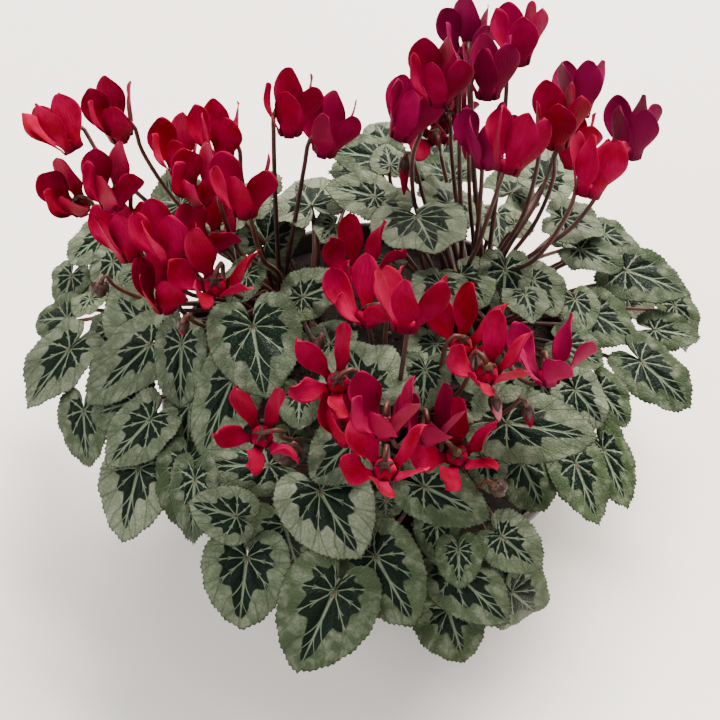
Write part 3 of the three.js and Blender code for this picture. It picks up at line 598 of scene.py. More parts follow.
def ramp(skin, value, low, high, start=0.0, end=1.0, smooth=True):
    """Carries a value from low..high to start..end, held at both ends."""
    sockets = {"Value": value, "From Min": low, "From Max": high, "To Min": start, "To Max": end}
    return add_node(skin, "MapRange", sockets,
                    interpolation_type="SMOOTHSTEP" if smooth else "LINEAR").outputs["Result"]


def sums(skin, operation, a, b=0.5, c=0.5):
    """One step of arithmetic on values."""
    return add_node(skin, "Math", {0: a, 1: b, 2: c}, operation=operation).outputs[0]


def noise(skin, place, size, detail=3.0, roughness=0.5):
    """Noise whose largest features are about size mm across."""
    return add_node(skin, "TexNoise", {"Vector": place, "Scale": 1000.0 / size, "Detail": detail,
                                       "Roughness": roughness}).outputs["Fac"]


def carried(skin, name):
    """The three values that the points of a piece carry under a name."""
    value = add_node(skin, "Attribute", attribute_name=name).outputs["Vector"]
    return add_node(skin, "SeparateXYZ", {0: value}).outputs


def raise_it(skin, shader, height, depth):
    """Bump: height from 0 to 1 stands for depth in mm."""
    bump = add_node(skin, "Bump", {"Height": height, "Distance": depth / 1000, "Strength": 1.0})
    skin.node_tree.links.new(bump.outputs["Normal"], shader.inputs["Normal"])


def paint(skin, shader, **links):
    """Links outputs to the shader's sockets of those names."""
    for key, value in links.items():
        skin.node_tree.links.new(value, shader.inputs[key.replace("_", " ")])


print("crimson in linear values:", [round(c, 4) for c in linear("#8c001e")])

# %% [markdown]
# ## The leaf's upper skin
#
# A florist's cyclamen leaf has a dark blue-green middle, drawn out along the veins, and a
# broad silver zone round it: there the skin stands off the green tissue, and the air under
# it scatters the light. The pattern could be painted as an image. Here it is worked out from
# values that the blade's points carry, so that it follows each blade exactly:
#
# - vein_fan holds a number that is whole on each main vein, the share of the way to the
#   rim, and the width of one such step in mm;
# - vein_forks holds how far two sets of side branches have left their vein, and the share
#   by which a point lies beyond the dark middle;
# - leaf_tone holds how light this leaf's silver is and how green it is; the green is
#   partly painted shade.
#
# The distance to the nearest vein is then the distance to the nearest whole number.

# %% Leaf skins
leaf_skin, shader, place = new_skin("living leaf, waxy upper skin", Roughness=0.5, IOR=1.42, Specular_IOR_Level=0.13)
fan_step, rim_share, step_wide = carried(leaf_skin, "vein_fan")
branch_one, branch_two, beyond = carried(leaf_skin, "vein_forks")
silver_tone, green, _ = carried(leaf_skin, "leaf_tone")
off_vein = sums(leaf_skin, "PINGPONG", fan_step, 0.5)
midrib = sums(leaf_skin, "LESS_THAN", sums(leaf_skin, "ABSOLUTE", fan_step), 0.5)
main_fade = sums(leaf_skin, "MAXIMUM", midrib, ramp(leaf_skin, rim_share, 0.55, 0.75, 1.0, 0.0))
main_half = sums(leaf_skin, "MULTIPLY_ADD", midrib, ramp(leaf_skin, rim_share, 0.0, 1.0, 0.44, 0.1, False),
                 ramp(leaf_skin, rim_share, 0.0, 1.0, 0.29, 0.09, False))


def line(distance, half, soft):
    """1 on a line of a half width in mm, falling to 0 over soft times that width."""
    return ramp(leaf_skin, sums(leaf_skin, "DIVIDE", distance, half), 0.6, soft, 1.0, 0.0)


def branch_distance(branch):
    """Distance in mm to branches that have left their vein by a share of a step."""
    apart = sums(leaf_skin, "ABSOLUTE", sums(leaf_skin, "SUBTRACT", off_vein, branch))
    return sums(leaf_skin, "MULTIPLY", apart, step_wide)


main_distance = sums(leaf_skin, "MULTIPLY", off_vein, step_wide)
one_distance, two_distance = branch_distance(branch_one), branch_distance(branch_two)
main_line = sums(leaf_skin, "MULTIPLY", line(main_distance, main_half, 1.7), main_fade)
one_line = line(one_distance, ramp(leaf_skin, rim_share, 0.3, 1.0, 0.22, 0.1, False), 1.8)
two_line = line(two_distance, 0.15, 1.8)
veins = sums(leaf_skin, "MAXIMUM", main_line, sums(leaf_skin, "MAXIMUM", one_line, two_line))
nearest = sums(leaf_skin, "MINIMUM", one_distance, sums(leaf_skin, "MINIMUM", main_distance, two_distance))

# Blotches of 6 mm and grain under 1 mm break up each zone and its border.
blotch = noise(leaf_skin, place, 6, 4)
grain = noise(leaf_skin, place, 0.9, 3, 0.6)
border = sums(leaf_skin, "MULTIPLY_ADD", sums(leaf_skin, "SUBTRACT", blotch, 0.5), 0.12, beyond)
border = sums(leaf_skin, "MULTIPLY_ADD", sums(leaf_skin, "SUBTRACT", grain, 0.5), 0.06, border)
silver_zone = ramp(leaf_skin, border, -0.012, 0.022)
# The net of smallest veins, with meshes about 2 mm wide.
mesh_edge = add_node(leaf_skin, "TexVoronoi", {"Vector": place, "Scale": 1000 / 2.1, "Randomness": 1.0},
                     feature="DISTANCE_TO_EDGE").outputs["Distance"]
net = ramp(leaf_skin, mesh_edge, 0.0, 0.16, 1.0, 0.0)

dark = mixed(leaf_skin, blotch, "#030b06", "#0c1e12")
silver = mixed(leaf_skin, silver_tone, "#2a3525", "#78816d")
# Painted shade, in part: a leaf's green value turns its silver towards a darker green.
silver = mixed(leaf_skin, green, silver, "#30421f")
silver = mixed(leaf_skin, ramp(leaf_skin, grain, 0.35, 0.7, 0.0, 0.4), silver, "#2a3724")
silver = mixed(leaf_skin, ramp(leaf_skin, blotch, 0.42, 0.68, 0.0, 0.3), silver, "#919884")
silver = mixed(leaf_skin, sums(leaf_skin, "MULTIPLY", net, 0.22), silver, "#2b3824")
face = mixed(leaf_skin, silver_zone, dark, silver)
# Beside a vein the silver gives way to green.
halo = sums(leaf_skin, "MULTIPLY", ramp(leaf_skin, nearest, 0.2, 0.9, 0.34, 0.0), silver_zone)
face = mixed(leaf_skin, halo, face, "#283922")
vein_colour = mixed(leaf_skin, silver_zone, "#6b7964", "#535f47")
vein_share = sums(leaf_skin, "MULTIPLY", veins, ramp(leaf_skin, rim_share, 0.5, 1.0, 0.9, 0.4))
face = mixed(leaf_skin, vein_share, face, vein_colour)
# The junction is brown. The rim is a dark green band, then a thin dark line: in part the
# leaf's own dark margin, in part painted shadow that a leaf's edge casts on the leaf below.
face = mixed(leaf_skin, ramp(leaf_skin, rim_share, 0.02, 0.08, 0.85, 0.0), face, "#43301c")
face = mixed(leaf_skin, ramp(leaf_skin, rim_share, 0.96, 0.985, 0.0, 0.4), face, "#2c3a24")
face = mixed(leaf_skin, ramp(leaf_skin, rim_share, 0.985, 0.997, 0.0, 0.9), face, "#17150d")
paint(leaf_skin, shader, Base_Color=face,
      Roughness=ramp(leaf_skin, sums(leaf_skin, "ADD", silver_zone, grain), 0.3, 1.6, 0.4, 0.62))
relief = sums(leaf_skin, "MULTIPLY_ADD", net, -0.35, sums(leaf_skin, "MULTIPLY", grain, 0.5))
raise_it(leaf_skin, shader, sums(leaf_skin, "MULTIPLY_ADD", veins, -0.5, relief), 0.45)

under_skin, shader, place = new_skin("living leaf, downy underside", Roughness=0.7, IOR=1.4, Specular_IOR_Level=0.3)
fan_step, _, step_wide = carried(under_skin, "vein_fan")
on_vein = sums(under_skin, "MULTIPLY", sums(under_skin, "PINGPONG", fan_step, 0.5), step_wide)
ribs = ramp(under_skin, on_vein, 0.25, 0.75, 1.0, 0.0)
down = noise(under_skin, place, 4, 5, 0.6)
below = mixed(under_skin, down, "#39451c", "#4e5b2a")
flush = ramp(under_skin, noise(under_skin, place, 11, 2), 0.45, 0.7, 0.0, 0.5)
below = mixed(under_skin, flush, below, "#442f1c")
below = mixed(under_skin, sums(under_skin, "MULTIPLY", ribs, 0.7), below, "#5d5427")
paint(under_skin, shader, Base_Color=below)
felt = sums(under_skin, "MULTIPLY_ADD", ribs, 0.8, sums(under_skin, "MULTIPLY", down, 0.4))
raise_it(under_skin, shader, felt, 0.5)
print("leaf skin:", len(leaf_skin.node_tree.nodes), "nodes, underside:", len(under_skin.node_tree.nodes))

# %% [markdown]
# ## The skin of the stalks
#
# Leaf stalks are fleshy, red-brown and finely haired, and they turn green where they lie in
# the shade. Flower stalks are darker, like old wine. Both are drawn with upright streaks, from
# noise that is stretched along Z, and the streaks' low relief stands for the hairs, which are
# too thin to show. Sepals and seed heads are browner, with small patches.

# %% Stalk skins
def stalk_skin(name, shaded, ripe, fresh):
    """A stalk's material: shaded to ripe in blotches of 9 mm, and a fresh tint towards its top."""
    skin, shader, place = new_skin(name, Roughness=0.48, IOR=1.42, Specular_IOR_Level=0.45)
    share = carried(skin, "tone")[0]
    drawn_out = add_node(skin, "Mapping", {"Vector": place, "Scale": (1, 1, 0.15)}).outputs[0]
    streak = noise(skin, drawn_out, 1.4, 4, 0.6)
    colour = mixed(skin, ramp(skin, noise(skin, place, 9, 3), 0.35, 0.65), shaded, ripe)
    colour = mixed(skin, ramp(skin, share, 0.6, 1.0, 0.0, 0.6), colour, fresh)
    colour = mixed(skin, ramp(skin, streak, 0.4, 0.75, 0.0, 0.5), colour, shaded)
    paint(skin, shader, Base_Color=colour)
    raise_it(skin, shader, streak, 0.12)
    return skin


petiole_skin = stalk_skin("living leaf stalk, haired red-brown skin", "#2b120c", "#4f2417", "#583721")
flower_stalk_skin = stalk_skin("living flower stalk, wine-brown skin", "#230e0b", "#452018", "#55291c")

sepal_skin, shader, place = new_skin("living sepal and seed head, brown-green skin", Roughness=0.55, IOR=1.42)
ripe_tone = carried(sepal_skin, "tone")[1]
patch = noise(sepal_skin, place, 1.6, 4, 0.6)
husk = mixed(sepal_skin, ramp(sepal_skin, patch, 0.35, 0.7), "#230d0b", "#3c1f16")
husk = mixed(sepal_skin, ramp(sepal_skin, ripe_tone, 0.6, 1.0, 0.0, 0.6), husk, "#66562f")
paint(sepal_skin, shader, Base_Color=husk)
raise_it(sepal_skin, shader, patch, 0.15)
print("stalk skin:", len(petiole_skin.node_tree.nodes), "nodes, sepals:", len(sepal_skin.node_tree.nodes))

# %% [markdown]
# ## Petals
#
# A petal is satin: its cells are small domes, so it has a soft sheen and almost no mirror
# gloss. The colour is crimson, deepest at the mouth and in fine streaks along the petal.
# Near the rim, where it is thin, it is painted lighter: a painted glow for light shining
# through it. Older flowers at the back and right have turned towards magenta, so each
# flower carries a share of that. One bud is still young and pale.

# %% Petal and bud skins
def petal_skin_of(name, deep, full, bright, magenta):
    """A petal's material. Streaks run along it: noise over the petal's own across and along,
    in which the whole width counts 2.5 times as much as a length does, and each petal has
    a layer of the noise to itself."""
    skin, shader, place = new_skin(name, Roughness=0.6, IOR=1.4, Specular_IOR_Level=0.06, Sheen_Weight=0.01,
                                   Sheen_Roughness=0.4)
    shader.inputs["Sheen Tint"].default_value = linear("#ff8fa8")
    across, along, own = carried(skin, "petal_place")
    flower_tone, violet, _ = carried(skin, "petal_tone")
    flat = add_node(skin, "CombineXYZ", {i: sums(skin, "MULTIPLY", value, times) for i, (value, times)
                                         in enumerate([(across, 9.0), (along, 3.6), (own, 40.0)])}).outputs[0]
    streak = add_node(skin, "TexNoise", {"Vector": flat, "Scale": 2.2, "Detail": 4.0,
                                         "Roughness": 0.6}).outputs["Fac"]
    cloud = noise(skin, place, 12, 2)
    colour = mixed(skin, ramp(skin, cloud, 0.35, 0.68), full, bright)
    colour = mixed(skin, ramp(skin, streak, 0.42, 0.72, 0.0, 0.42), colour, deep)
    # Painted light: near its side edges the petal is painted lighter, for light shining through it.
    colour = mixed(skin, ramp(skin, sums(skin, "ABSOLUTE", across), 0.72, 1.0, 0.0, 0.4), colour, bright)
    colour = mixed(skin, sums(skin, "MULTIPLY", violet, 0.75), colour, magenta)
    colour = mixed(skin, sums(skin, "MULTIPLY", flower_tone, 0.45), colour, deep)
    colour = mixed(skin, ramp(skin, along, 0.05, 0.32, 0.85, 0.0), colour, "#3d0016")
    paint(skin, shader, Base_Color=colour)
    raise_it(skin, shader, streak, 0.35)
    return skin


petal_skin = petal_skin_of("living petal, crimson satin", "#520012", "#8c001e", "#a60040", "#6a0846")
pale_bud_skin = petal_skin_of("living petal, young and pale", "#9c3048", "#d06478", "#e08a98", "#a83a5c")
print("petal skin:", len(petal_skin.node_tree.nodes), "nodes")

# %% [markdown]
# ## Corm, potting mix and bowl
#
# The corm has a corky, cracked skin. The potting mix is dark peat with bark and perlite,
# which is white when new and grey once it is soiled. The peat is painted darker than peat
# alone, as painted shade for the mix that lies under the leaves. The bowl is matt glazed
# stoneware, almost black: a faint speckle, slightly uneven gloss and a paler edge where the
# glaze has drawn thin over the rim.

# %% Ground and bowl skins
cork_skin, shader, place = new_skin("corm, corky brown skin", Roughness=0.85)
crack = add_node(cork_skin, "TexVoronoi", {"Vector": place, "Scale": 1000 / 4.0},
                 feature="DISTANCE_TO_EDGE").outputs["Distance"]
patch = noise(cork_skin, place, 5, 5, 0.6)
cork = mixed(cork_skin, patch, "#4a3426", "#85684c")
cork = mixed(cork_skin, ramp(cork_skin, crack, 0.0, 0.1, 0.8, 0.0), cork, "#2a1c15")
paint(cork_skin, shader, Base_Color=cork)
plates = ramp(cork_skin, crack, 0.0, 0.14)
rough = sums(cork_skin, "MULTIPLY_ADD", plates, 0.7, sums(cork_skin, "MULTIPLY", patch, 0.5))
raise_it(cork_skin, shader, rough, 0.8)

peat_skin, shader, place = new_skin("potting mix, damp peat and bark", Roughness=0.95)
crumb = noise(peat_skin, place, 3, 6, 0.7)
drawn_out = add_node(peat_skin, "Mapping", {"Vector": place, "Scale": (1, 0.2, 1)}).outputs[0]
fibre = noise(peat_skin, drawn_out, 2, 4, 0.7)
# Painted shade, in part: the peat's colours are darker than peat alone, for the shade under the leaves.
peat = mixed(peat_skin, ramp(peat_skin, crumb, 0.35, 0.7), "#0e0906", "#251912")
peat = mixed(peat_skin, ramp(peat_skin, fibre, 0.58, 0.72, 0.0, 0.8), peat, "#6b4c31")
paint(peat_skin, shader, Base_Color=peat)
raise_it(peat_skin, shader, crumb, 1.4)

perlite_skin, shader, place = new_skin("potting mix, perlite crumbs", Roughness=0.9)
foam = noise(perlite_skin, place, 0.8, 4, 0.7)
soiled = mixed(perlite_skin, ramp(perlite_skin, foam, 0.35, 0.65), "#4c443a", "#7c756a")
paint(perlite_skin, shader, Base_Color=soiled)
raise_it(perlite_skin, shader, foam, 0.3)

glaze_skin, shader, place = new_skin("bowl, matt black-brown glazed stoneware", Roughness=0.5, IOR=1.5)
cloud = noise(glaze_skin, place, 40, 3)
speck = noise(glaze_skin, place, 1.1, 2, 0.5)
glaze = mixed(glaze_skin, ramp(glaze_skin, cloud, 0.35, 0.7), "#2e282b", "#413a3b")
glaze = mixed(glaze_skin, ramp(glaze_skin, speck, 0.66, 0.74, 0.0, 0.6), glaze, "#6a605b")
height = add_node(glaze_skin, "SeparateXYZ", {0: place}).outputs[2]
# The last 1.6 mm under the rim's top, as heights in metres.
glaze = mixed(glaze_skin, ramp(glaze_skin, height, 0.0865, 0.0881, 0.0, 0.5), glaze, "#6d5a4e")
paint(glaze_skin, shader, Base_Color=glaze, Roughness=ramp(glaze_skin, cloud, 0.3, 0.7, 0.45, 0.62))
uneven = sums(glaze_skin, "MULTIPLY_ADD", cloud, 0.6, sums(glaze_skin, "MULTIPLY", speck, 0.4))
raise_it(glaze_skin, shader, uneven, 0.25)
print(len(bpy.data.materials), "materials in the file")

# %% [markdown]
# ## Leaf blades
#
# A blade is heart-shaped, with a narrow notch where the stalk meets it. The plain solid is a
# flat-faced plate through ten points. The real one has a smooth outline with small teeth,
# sinks from the junction to the rim, waves along the rim and is quilted: the skin stands
# up between the veins. A grid does all of this: one parameter runs round the outline, the
# other from the junction to the rim. The rows go out on the underside, turn over the rim and
# come back on top, so the blade is one closed skin.

# %% Blade shape
# From the notch to the tip, as shares of the blade's width and length from the junction.
HALF_OUTLINE = [(0.004, -0.015), (0.02, -0.12), (0.045, -0.22), (0.10, -0.295), (0.20, -0.33),
                (0.32, -0.305), (0.43, -0.20), (0.49, -0.03), (0.49, 0.17), (0.435, 0.36),
                (0.32, 0.54), (0.165, 0.685), (0, 0.77)]
half = smooth_way(HALF_OUTLINE, 65)
OUTLINE = np.concatenate([half, half[-2::-1] * [-1, 1]])
ROWS_UNDER = np.array([0.12, 0.35, 0.6, 0.8, 0.93, 1.0])
ROWS_OVER = np.array([1.0, 0.965, 0.9, 0.82, 0.73, 0.63, 0.53, 0.42, 0.31, 0.2, 0.1])
TOOTH = 0.55                   # height of a tooth, in mm
VEIN_STEP = math.radians(41)   # between two main veins at the junction
FORWARD_BEND = 0.13            # the share by which that shrinks at the rim
BRANCH_GAP = 0.44              # the furthest a branch leaves its vein, in steps
FULL_TURN = 6.28               # for a random place in a wave
print("outline of", len(OUTLINE), "points,", len(ROWS_UNDER) + len(ROWS_OVER), "rows")


def blade_rise(u, v, seed):
    """Height over the blade's flat as a share of its width: a sink with the square of the
    reach, two waves round the junction and a shallow V across."""
    reach, angle = np.hypot(u, v), np.arctan2(u, v)
    wave = np.sin(3 * angle + FULL_TURN * draw(seed, 1)) + 0.6 * np.sin(5 * angle + FULL_TURN * draw(seed, 2))
    return -BLADE["droop"] * reach**2 + BLADE["ripple"] * reach * wave + BLADE["cup"] * np.abs(u) * 0.5


def vein_fields(u, v, share, width, seed):
    """Values for the pattern. The fan's step is the angle from the tip over the angle between
    veins, which shrinks towards the rim so that veins bend forward, and it sways a little.
    Branches leave the midrib from 26% of the way out and the other veins from about half. A
    second set leaves the midrib from 55% and the others, for a short way, from 26%. The dark
    middle reaches about half way, further on each vein, and furthest on the midrib."""
    angle = np.arctan2(u, v)
    between = VEIN_STEP * (0.93 + 0.14 * draw(seed, 3)) * (1 - FORWARD_BEND * share)
    sway = 0.16 * share * np.minimum(np.abs(angle), 1) * np.sin(2 * angle + FULL_TURN * draw(seed, 4))
    step = angle / between + sway
    wide = np.hypot(u, v) * width * between
    central = np.abs(step) < 0.5
    parting = np.where(central, 0.26 + 0.08 * draw(seed, 5), 0.46 + 0.12 * draw(seed, 6))
    one = np.clip(np.where(central, 0.95, 0.62) * (share - parting), 0, BRANCH_GAP)
    later = np.where(central, 0.55 + 0.06 * draw(seed, 7), 0.26)
    two = np.clip(0.85 * (share - later), 0, BRANCH_GAP)
    nowhere = 9.0
    two = np.where(~central & (share > 0.44), nowhere, two)
    on_midrib = np.exp(-((step / 0.3) ** 2))
    dark_reach = 0.48 + 0.15 * draw(seed, 8) + 0.07 * np.cos(2 * np.pi * step) + 0.22 * on_midrib
    return np.stack([step, share, wide], -1), np.stack([one, two, share - dark_reach], -1)


def add_blade(bundle, leaf):
    """Puts one blade in a bundle, as a closed grid of rows under and over it: junction + side
    u width + forward v length + normal height. The height is the rise, the quilting between
    the veins, the frill of the rim with the cube of the share, a fold along the midrib, and
    half the thickness, which thins to the rim."""
    seed, width = leaf["seed"], leaf["width"]
    share = np.concatenate([ROWS_UNDER, ROWS_OVER])[:, None]
    face = np.concatenate([-np.ones(len(ROWS_UNDER)), np.ones(len(ROWS_OVER))])[:, None]
    right, left = (1 + 0.05 * (draw(seed, k) - 0.5) for k in (9, 10))
    outline = OUTLINE * np.where(OUTLINE[:, :1] > 0, right, left)
    u, v = share * outline[:, 0], share * outline[:, 1]
    fan_values, fork_values = vein_fields(u, v, share + 0 * u, width, seed)
    step = fan_values[..., 0]
    angle = np.arctan2(u, v)
    # Small teeth stand on the rim alone, one on every second column, and tire towards the notch.
    column = np.arange(len(OUTLINE))
    tooth = TOOTH * (0.7 + 0.5 * np.sin(column * 2.3 + seed)) * np.where(column % 2 == 0, 1, -1)
    out = outline / np.linalg.norm(outline, axis=1)[:, None] * (tooth / width * (np.abs(angle[-1]) < 2.8))[:, None]
    on_rim = share > 0.999
    u = u + np.where(on_rim, out[:, 0], 0)
    v = v + np.where(on_rim, out[:, 1], 0)
    quilt = 0.024 * (0.5 - 0.5 * np.cos(2 * np.pi * step)) * np.sin(np.pi * np.clip(share, 0, 1)) ** 0.7
    frill = share**3 * (0.034 * np.sin(5 * angle + FULL_TURN * draw(seed, 11))
                        + 0.019 * np.sin(9 * angle + FULL_TURN * draw(seed, 12)))
    fold = 0.22 * (draw(seed, 16) - 0.25) * np.abs(u)
    skin_height = face * BLADE["thick"] / 2 * (1 - 0.5 * share**6)
    height = (blade_rise(u, v, seed) + quilt + frill + fold) * width + skin_height
    rings = (leaf["junction"] + leaf["side"] * (u * width)[..., None]
             + leaf["forward"] * (v * leaf["length"])[..., None] + leaf["normal"] * height[..., None])
    poles = leaf["junction"] + leaf["normal"] * (np.array([[-0.5], [0.5]]) * BLADE["thick"])
    # A leaf's green is partly painted shade, more for a leaf low in the layers, under others, or low on the plant,
    # and partly drawn at random.
    green = np.clip(0.34 - 0.07 * leaf["layer"] + 0.5 * (draw(seed, 13) - 0.5) + leaf.get("green", 0), 0, 1)
    tone = np.array([draw(seed, 14), green, 0])
    row_skins = np.where(np.arange(len(share) - 1) < len(ROWS_UNDER) - 1, 1, 0)
    junction_fan, junction_fork = np.zeros((2, 3)), np.tile([0, 0, -0.5], (2, 1))
    add_closed(bundle, rings, poles, row_skins=row_skins, vein_fan=(fan_values, junction_fan),
               vein_forks=(fork_values, junction_fork), leaf_tone=everywhere(tone, rings))


# %% [markdown]
# ## Leaf stalks
#
# Every leaf stalk starts in its own place on the ring round its corm's crown, rises, and
# leans over to meet its blade from below. The base is swollen into a sheath, and the
# sheaths together make the crown's collar. Stalks of low outer leaves bend over the rim.

# %% Leaf stalk ways
TUBER_TOP, GAP = 84.0, 0.3
RIM = {"radius": 106, "height": 88}
COLLAR, CROWN = (14.6, 1), (7, 2)   # reach from the crown's middle, and height over its foot


def crown_start(item, ring):
    """A stalk's own place on a ring round its plant's crown, and the way out from there."""
    (cx, cy), (reach, height) = CROWNS[item["plant"]], ring
    out = np.array([math.cos(item["slot"]), math.sin(item["slot"]), 0.0])
    return np.array([cx, cy, TUBER_TOP + GAP + height]) + out * reach, out


def petiole_way(leaf):
    """From the collar up by half the rise, then towards the junction from behind and below. A
    stalk whose leaf hangs low outside the bowl is led over the rim first."""
    inside = leaf["junction"] + leaf["forward"] * 2.2 - leaf["normal"] * 0.15
    end = inside - leaf["normal"] * 3.5
    start, out = crown_start(leaf, COLLAR)
    span = np.linalg.norm(start - end)
    high = min(max((end[2] - 95) / 40, 0), 1)
    lower = start + UP * max(0.5 * (end[2] - start[2]), 26) + out * 0.08 * span
    upper = end - leaf["normal"] * (0.14 + 0.18 * high) * span - leaf["forward"] * (0.26 - 0.18 * high) * span
    if end[2] < RIM["height"] + 30 and math.hypot(end[0], end[1]) > RIM["radius"]:
        line_points = start + (end - start) * np.arange(0, 1, 0.02)[:, None]
        past = np.flatnonzero(np.hypot(line_points[:, 0], line_points[:, 1]) > RIM["radius"] + 3)
        if len(past):
            over = line_points[past[0]]
            over[2] = max(over[2], RIM["height"]) + 6
            return smooth_way([start, start + UP * 9 + out * 2, over, end, inside], 18)
    return smooth_way([*bezier(start, lower, upper, end, 9), inside], 16)


longest = max(np.linalg.norm(np.diff(petiole_way(leaf), axis=0), axis=1).sum() for leaf in leaves)
print("longest leaf stalk:", round(float(longest)), "mm")

# %% [markdown]
# ## Leaves, plant by plant
#
# The blades of one plant are one piece and its leaf stalks another. Both take the place of
# the same solid, which holds them as one growth. A stalk's radius is about a millimetre: it
# is greatest in the sheath at its foot, and it swells again where it meets the blade.

# %% Leaves of each plant
for plant in CROWNS:
    bundle = Bundle()
    own = [leaf for leaf in leaves if leaf["plant"] == plant]
    for leaf in own:
        add_blade(bundle, leaf)
    count = bundle.piece(f"blades_{plant}", [leaf_skin, under_skin], [f"leaves_{plant}"])
    stalks = Bundle()
    for leaf in own:
        way = petiole_way(leaf)
        share = np.linspace(0, 1, len(way))
        radii = 1.0 + 0.25 * (1 - share) + 1.0 * np.exp(-share * 30) + 0.35 * np.exp(-(1 - share) * 22)
        add_tube(stalks, way, radii, 7)
    stalk_count = stalks.piece(f"leaf_stalks_{plant}", [petiole_skin], [f"leaves_{plant}"])
    print(plant, "leaves:", len(own), "blades of", count, "triangles, stalks of", stalk_count)

# %% [markdown]
# ## Flowers
#
# The nose is a short hollow bell with its mouth down, and its rim is dark. Five petals grow
# out of the mouth, fold back over the rim and stand up, each turned a little on its own
# length, so that neighbours pass each other like the blades of a fan. The side towards the
# stalk has no petal. A petal could be a flat plate. The real one has a narrow waist, is
# widest past its middle, cups, and has a soft wave in its rim, so it is a grid: rows follow a
# line from the throat round the rim and up, and each row is a thin closed loop across.

# %% Petal shape
PETALS, FIRST_TURN, TURN_STEP = 5, 54, 63   # turns in degrees from the stalk's side
PETAL_LENGTH = 26.0
# Places of (reach, height) from the seat: the root inside the mouth, and the fold over its rim.
ROOT = np.array([(3.3, -5.8), (4.1, -6.9), (5.3, -6.6)])
FOLD = (5.9, -4.0)
ROOT_HALF = np.array([2.0, 2.3, 2.4])
ALONG = np.array([0.0, 1.3, 2.9, 4.9, 7.2, 9.7, 12.2, 14.7, 17.2, 19.5, 21.7, 23.5, 24.8, 25.6])
# Half width in mm and twist in degrees, each over the length from the fold.
HALF_KNOTS = ([0, 2.3, 4.5, 7.2, 10.8, 14.4, 18, 20.6, 22.9, 24.7, 26],
              [2.5, 2.6, 3.8, 5.4, 6.9, 7.5, 7.2, 6.2, 4.7, 2.8, 0.8])
TWIST_KNOTS = ([0, 2.5, 11.8, 20, 26], [0, 4.4, 22, 33, 36])
COLUMNS = 10
ACROSS = np.sin(np.linspace(-np.pi / 2, np.pi / 2, COLUMNS)) * 0.35 + np.linspace(-1, 1, COLUMNS) * 0.65
NOSE_PROFILE = [(0, -2.8), (1.6, -3.1), (2.7, -4.6), (3.0, -6.2), (3.7, -7.0), (4.5, -6.9),
                (4.9, -6.2), (5.0, -4.4), (4.6, -2.3), (3.2, -0.9), (1.6, -0.3), (0, -0.2)]
# A flower counts as wide open from 20 degrees on, and fully from 34.
WIDE_FROM, WIDE_RANGE = math.radians(20), math.radians(14)
# The oldest of the wide open flowers, by their place in the list.
FADING = {29, 35, 41}
print("petal rows:", len(ROOT) + len(ALONG), "of", 2 * COLUMNS, "points")


def age_of(flower):
    """0 for a flower that is just open, up to 1 for an old one: how far it has passed the wide
    opening, which counts in full for the fading flowers and by a third for the others."""
    spread = min(max((flower["open"] - WIDE_FROM) / WIDE_RANGE, 0), 1)
    return spread * (1.0 if flower["seed"] in FADING else 0.35)


def add_petal(bundle, flower, k, tone):
    """One petal. Its middle line goes through the root points, then up from the fold in the
    opening's direction with a slight bow. Across it, the surface is dished with the square
    of the distance from the line and waves at the rim with its cube. The petals of an older
    flower are slimmer, more pointed and more wavy, and they are wound further."""
    seed = 10 * flower["seed"] + k
    opening = flower["open"] + math.radians(7) * (draw(seed, 21) - 0.5)
    turn = math.radians(FIRST_TURN + TURN_STEP * k + 6 * (draw(seed, 22) - 0.5))
    outward = flower["gap"] * math.cos(turn) + flower["cross"] * math.sin(turn)
    tangent = np.cross(flower["axis"], outward)
    along = outward * math.sin(opening) + flower["axis"] * math.cos(opening)
    normal = outward * math.cos(opening) - flower["axis"] * math.sin(opening)
    stretch = 0.97 + 0.06 * draw(seed, 23)
    run = ALONG * stretch
    bow = (1.6 * draw(seed, 24) + 0.4) * np.sin(np.pi * ALONG / PETAL_LENGTH)
    root = flower["seat"] + outward * ROOT[:, :1] + flower["axis"] * ROOT[:, 1:]
    fold = flower["seat"] + outward * FOLD[0] + flower["axis"] * FOLD[1]
    middle = np.concatenate([root, fold + along * run[:, None] + normal * bow[:, None]])
    age = age_of(flower)
    slim = (0.95 + 0.12 * draw(seed, 25)) * (1 - age * (0.2 + 0.3 * (ALONG / PETAL_LENGTH) ** 3))
    half = np.concatenate([ROOT_HALF, np.interp(ALONG, *HALF_KNOTS) * slim])
    wound = (0.9 + 0.3 * draw(seed, 26)) * (1 + (0.4 + 0.9 * draw(seed, 30)) * age)
    twist = np.radians(np.concatenate([[0, 0, 0], np.interp(ALONG, *TWIST_KNOTS) * wound]))
    across = tangent * np.cos(twist)[:, None] + normal * np.sin(twist)[:, None]
    up = normal * np.cos(twist)[:, None] - tangent * np.sin(twist)[:, None]
    up[:3] = [outward * 0.3 - flower["axis"], outward * 0.6 - flower["axis"], outward - flower["axis"] * 0.6]
    up /= np.linalg.norm(up, axis=1)[:, None]
    a = np.concatenate([ACROSS, ACROSS[::-1]])
    face = np.concatenate([np.ones(COLUMNS), -np.ones(COLUMNS)]) * (1 - np.abs(a) ** 6 * 0.7)
    share = np.linspace(0, 1, len(middle))[:, None]
    thick = np.interp(share, [0, 0.25, 1], [0.5, 0.35, 0.22])
    dish = -(0.05 + 0.12 * draw(seed, 27)) * half[:, None] * a**2 * np.sin(np.pi * share)
    ripple = np.sin(2 * np.pi * (1.7 * share + draw(seed, 28)) + np.sign(a) * 1.9)
    wave = (0.9 + 1.1 * age) * share * np.abs(a) ** 3 * ripple
    rings = (middle[:, None] + across[:, None] * (half[:, None] * a)[..., None]
             + up[:, None] * (dish + wave + face * thick)[..., None])
    poles = np.stack([middle[0], middle[-1] + along * 0.35])
    place = np.stack([a + 0 * share, share + 0 * a, np.full(rings.shape[:2], draw(seed, 29))], -1)
    end_place = np.array([[0, 0, draw(seed, 29)], [0, 1, draw(seed, 29)]])
    add_closed(bundle, rings, poles, petal_place=(place, end_place), petal_tone=everywhere(tone, rings))


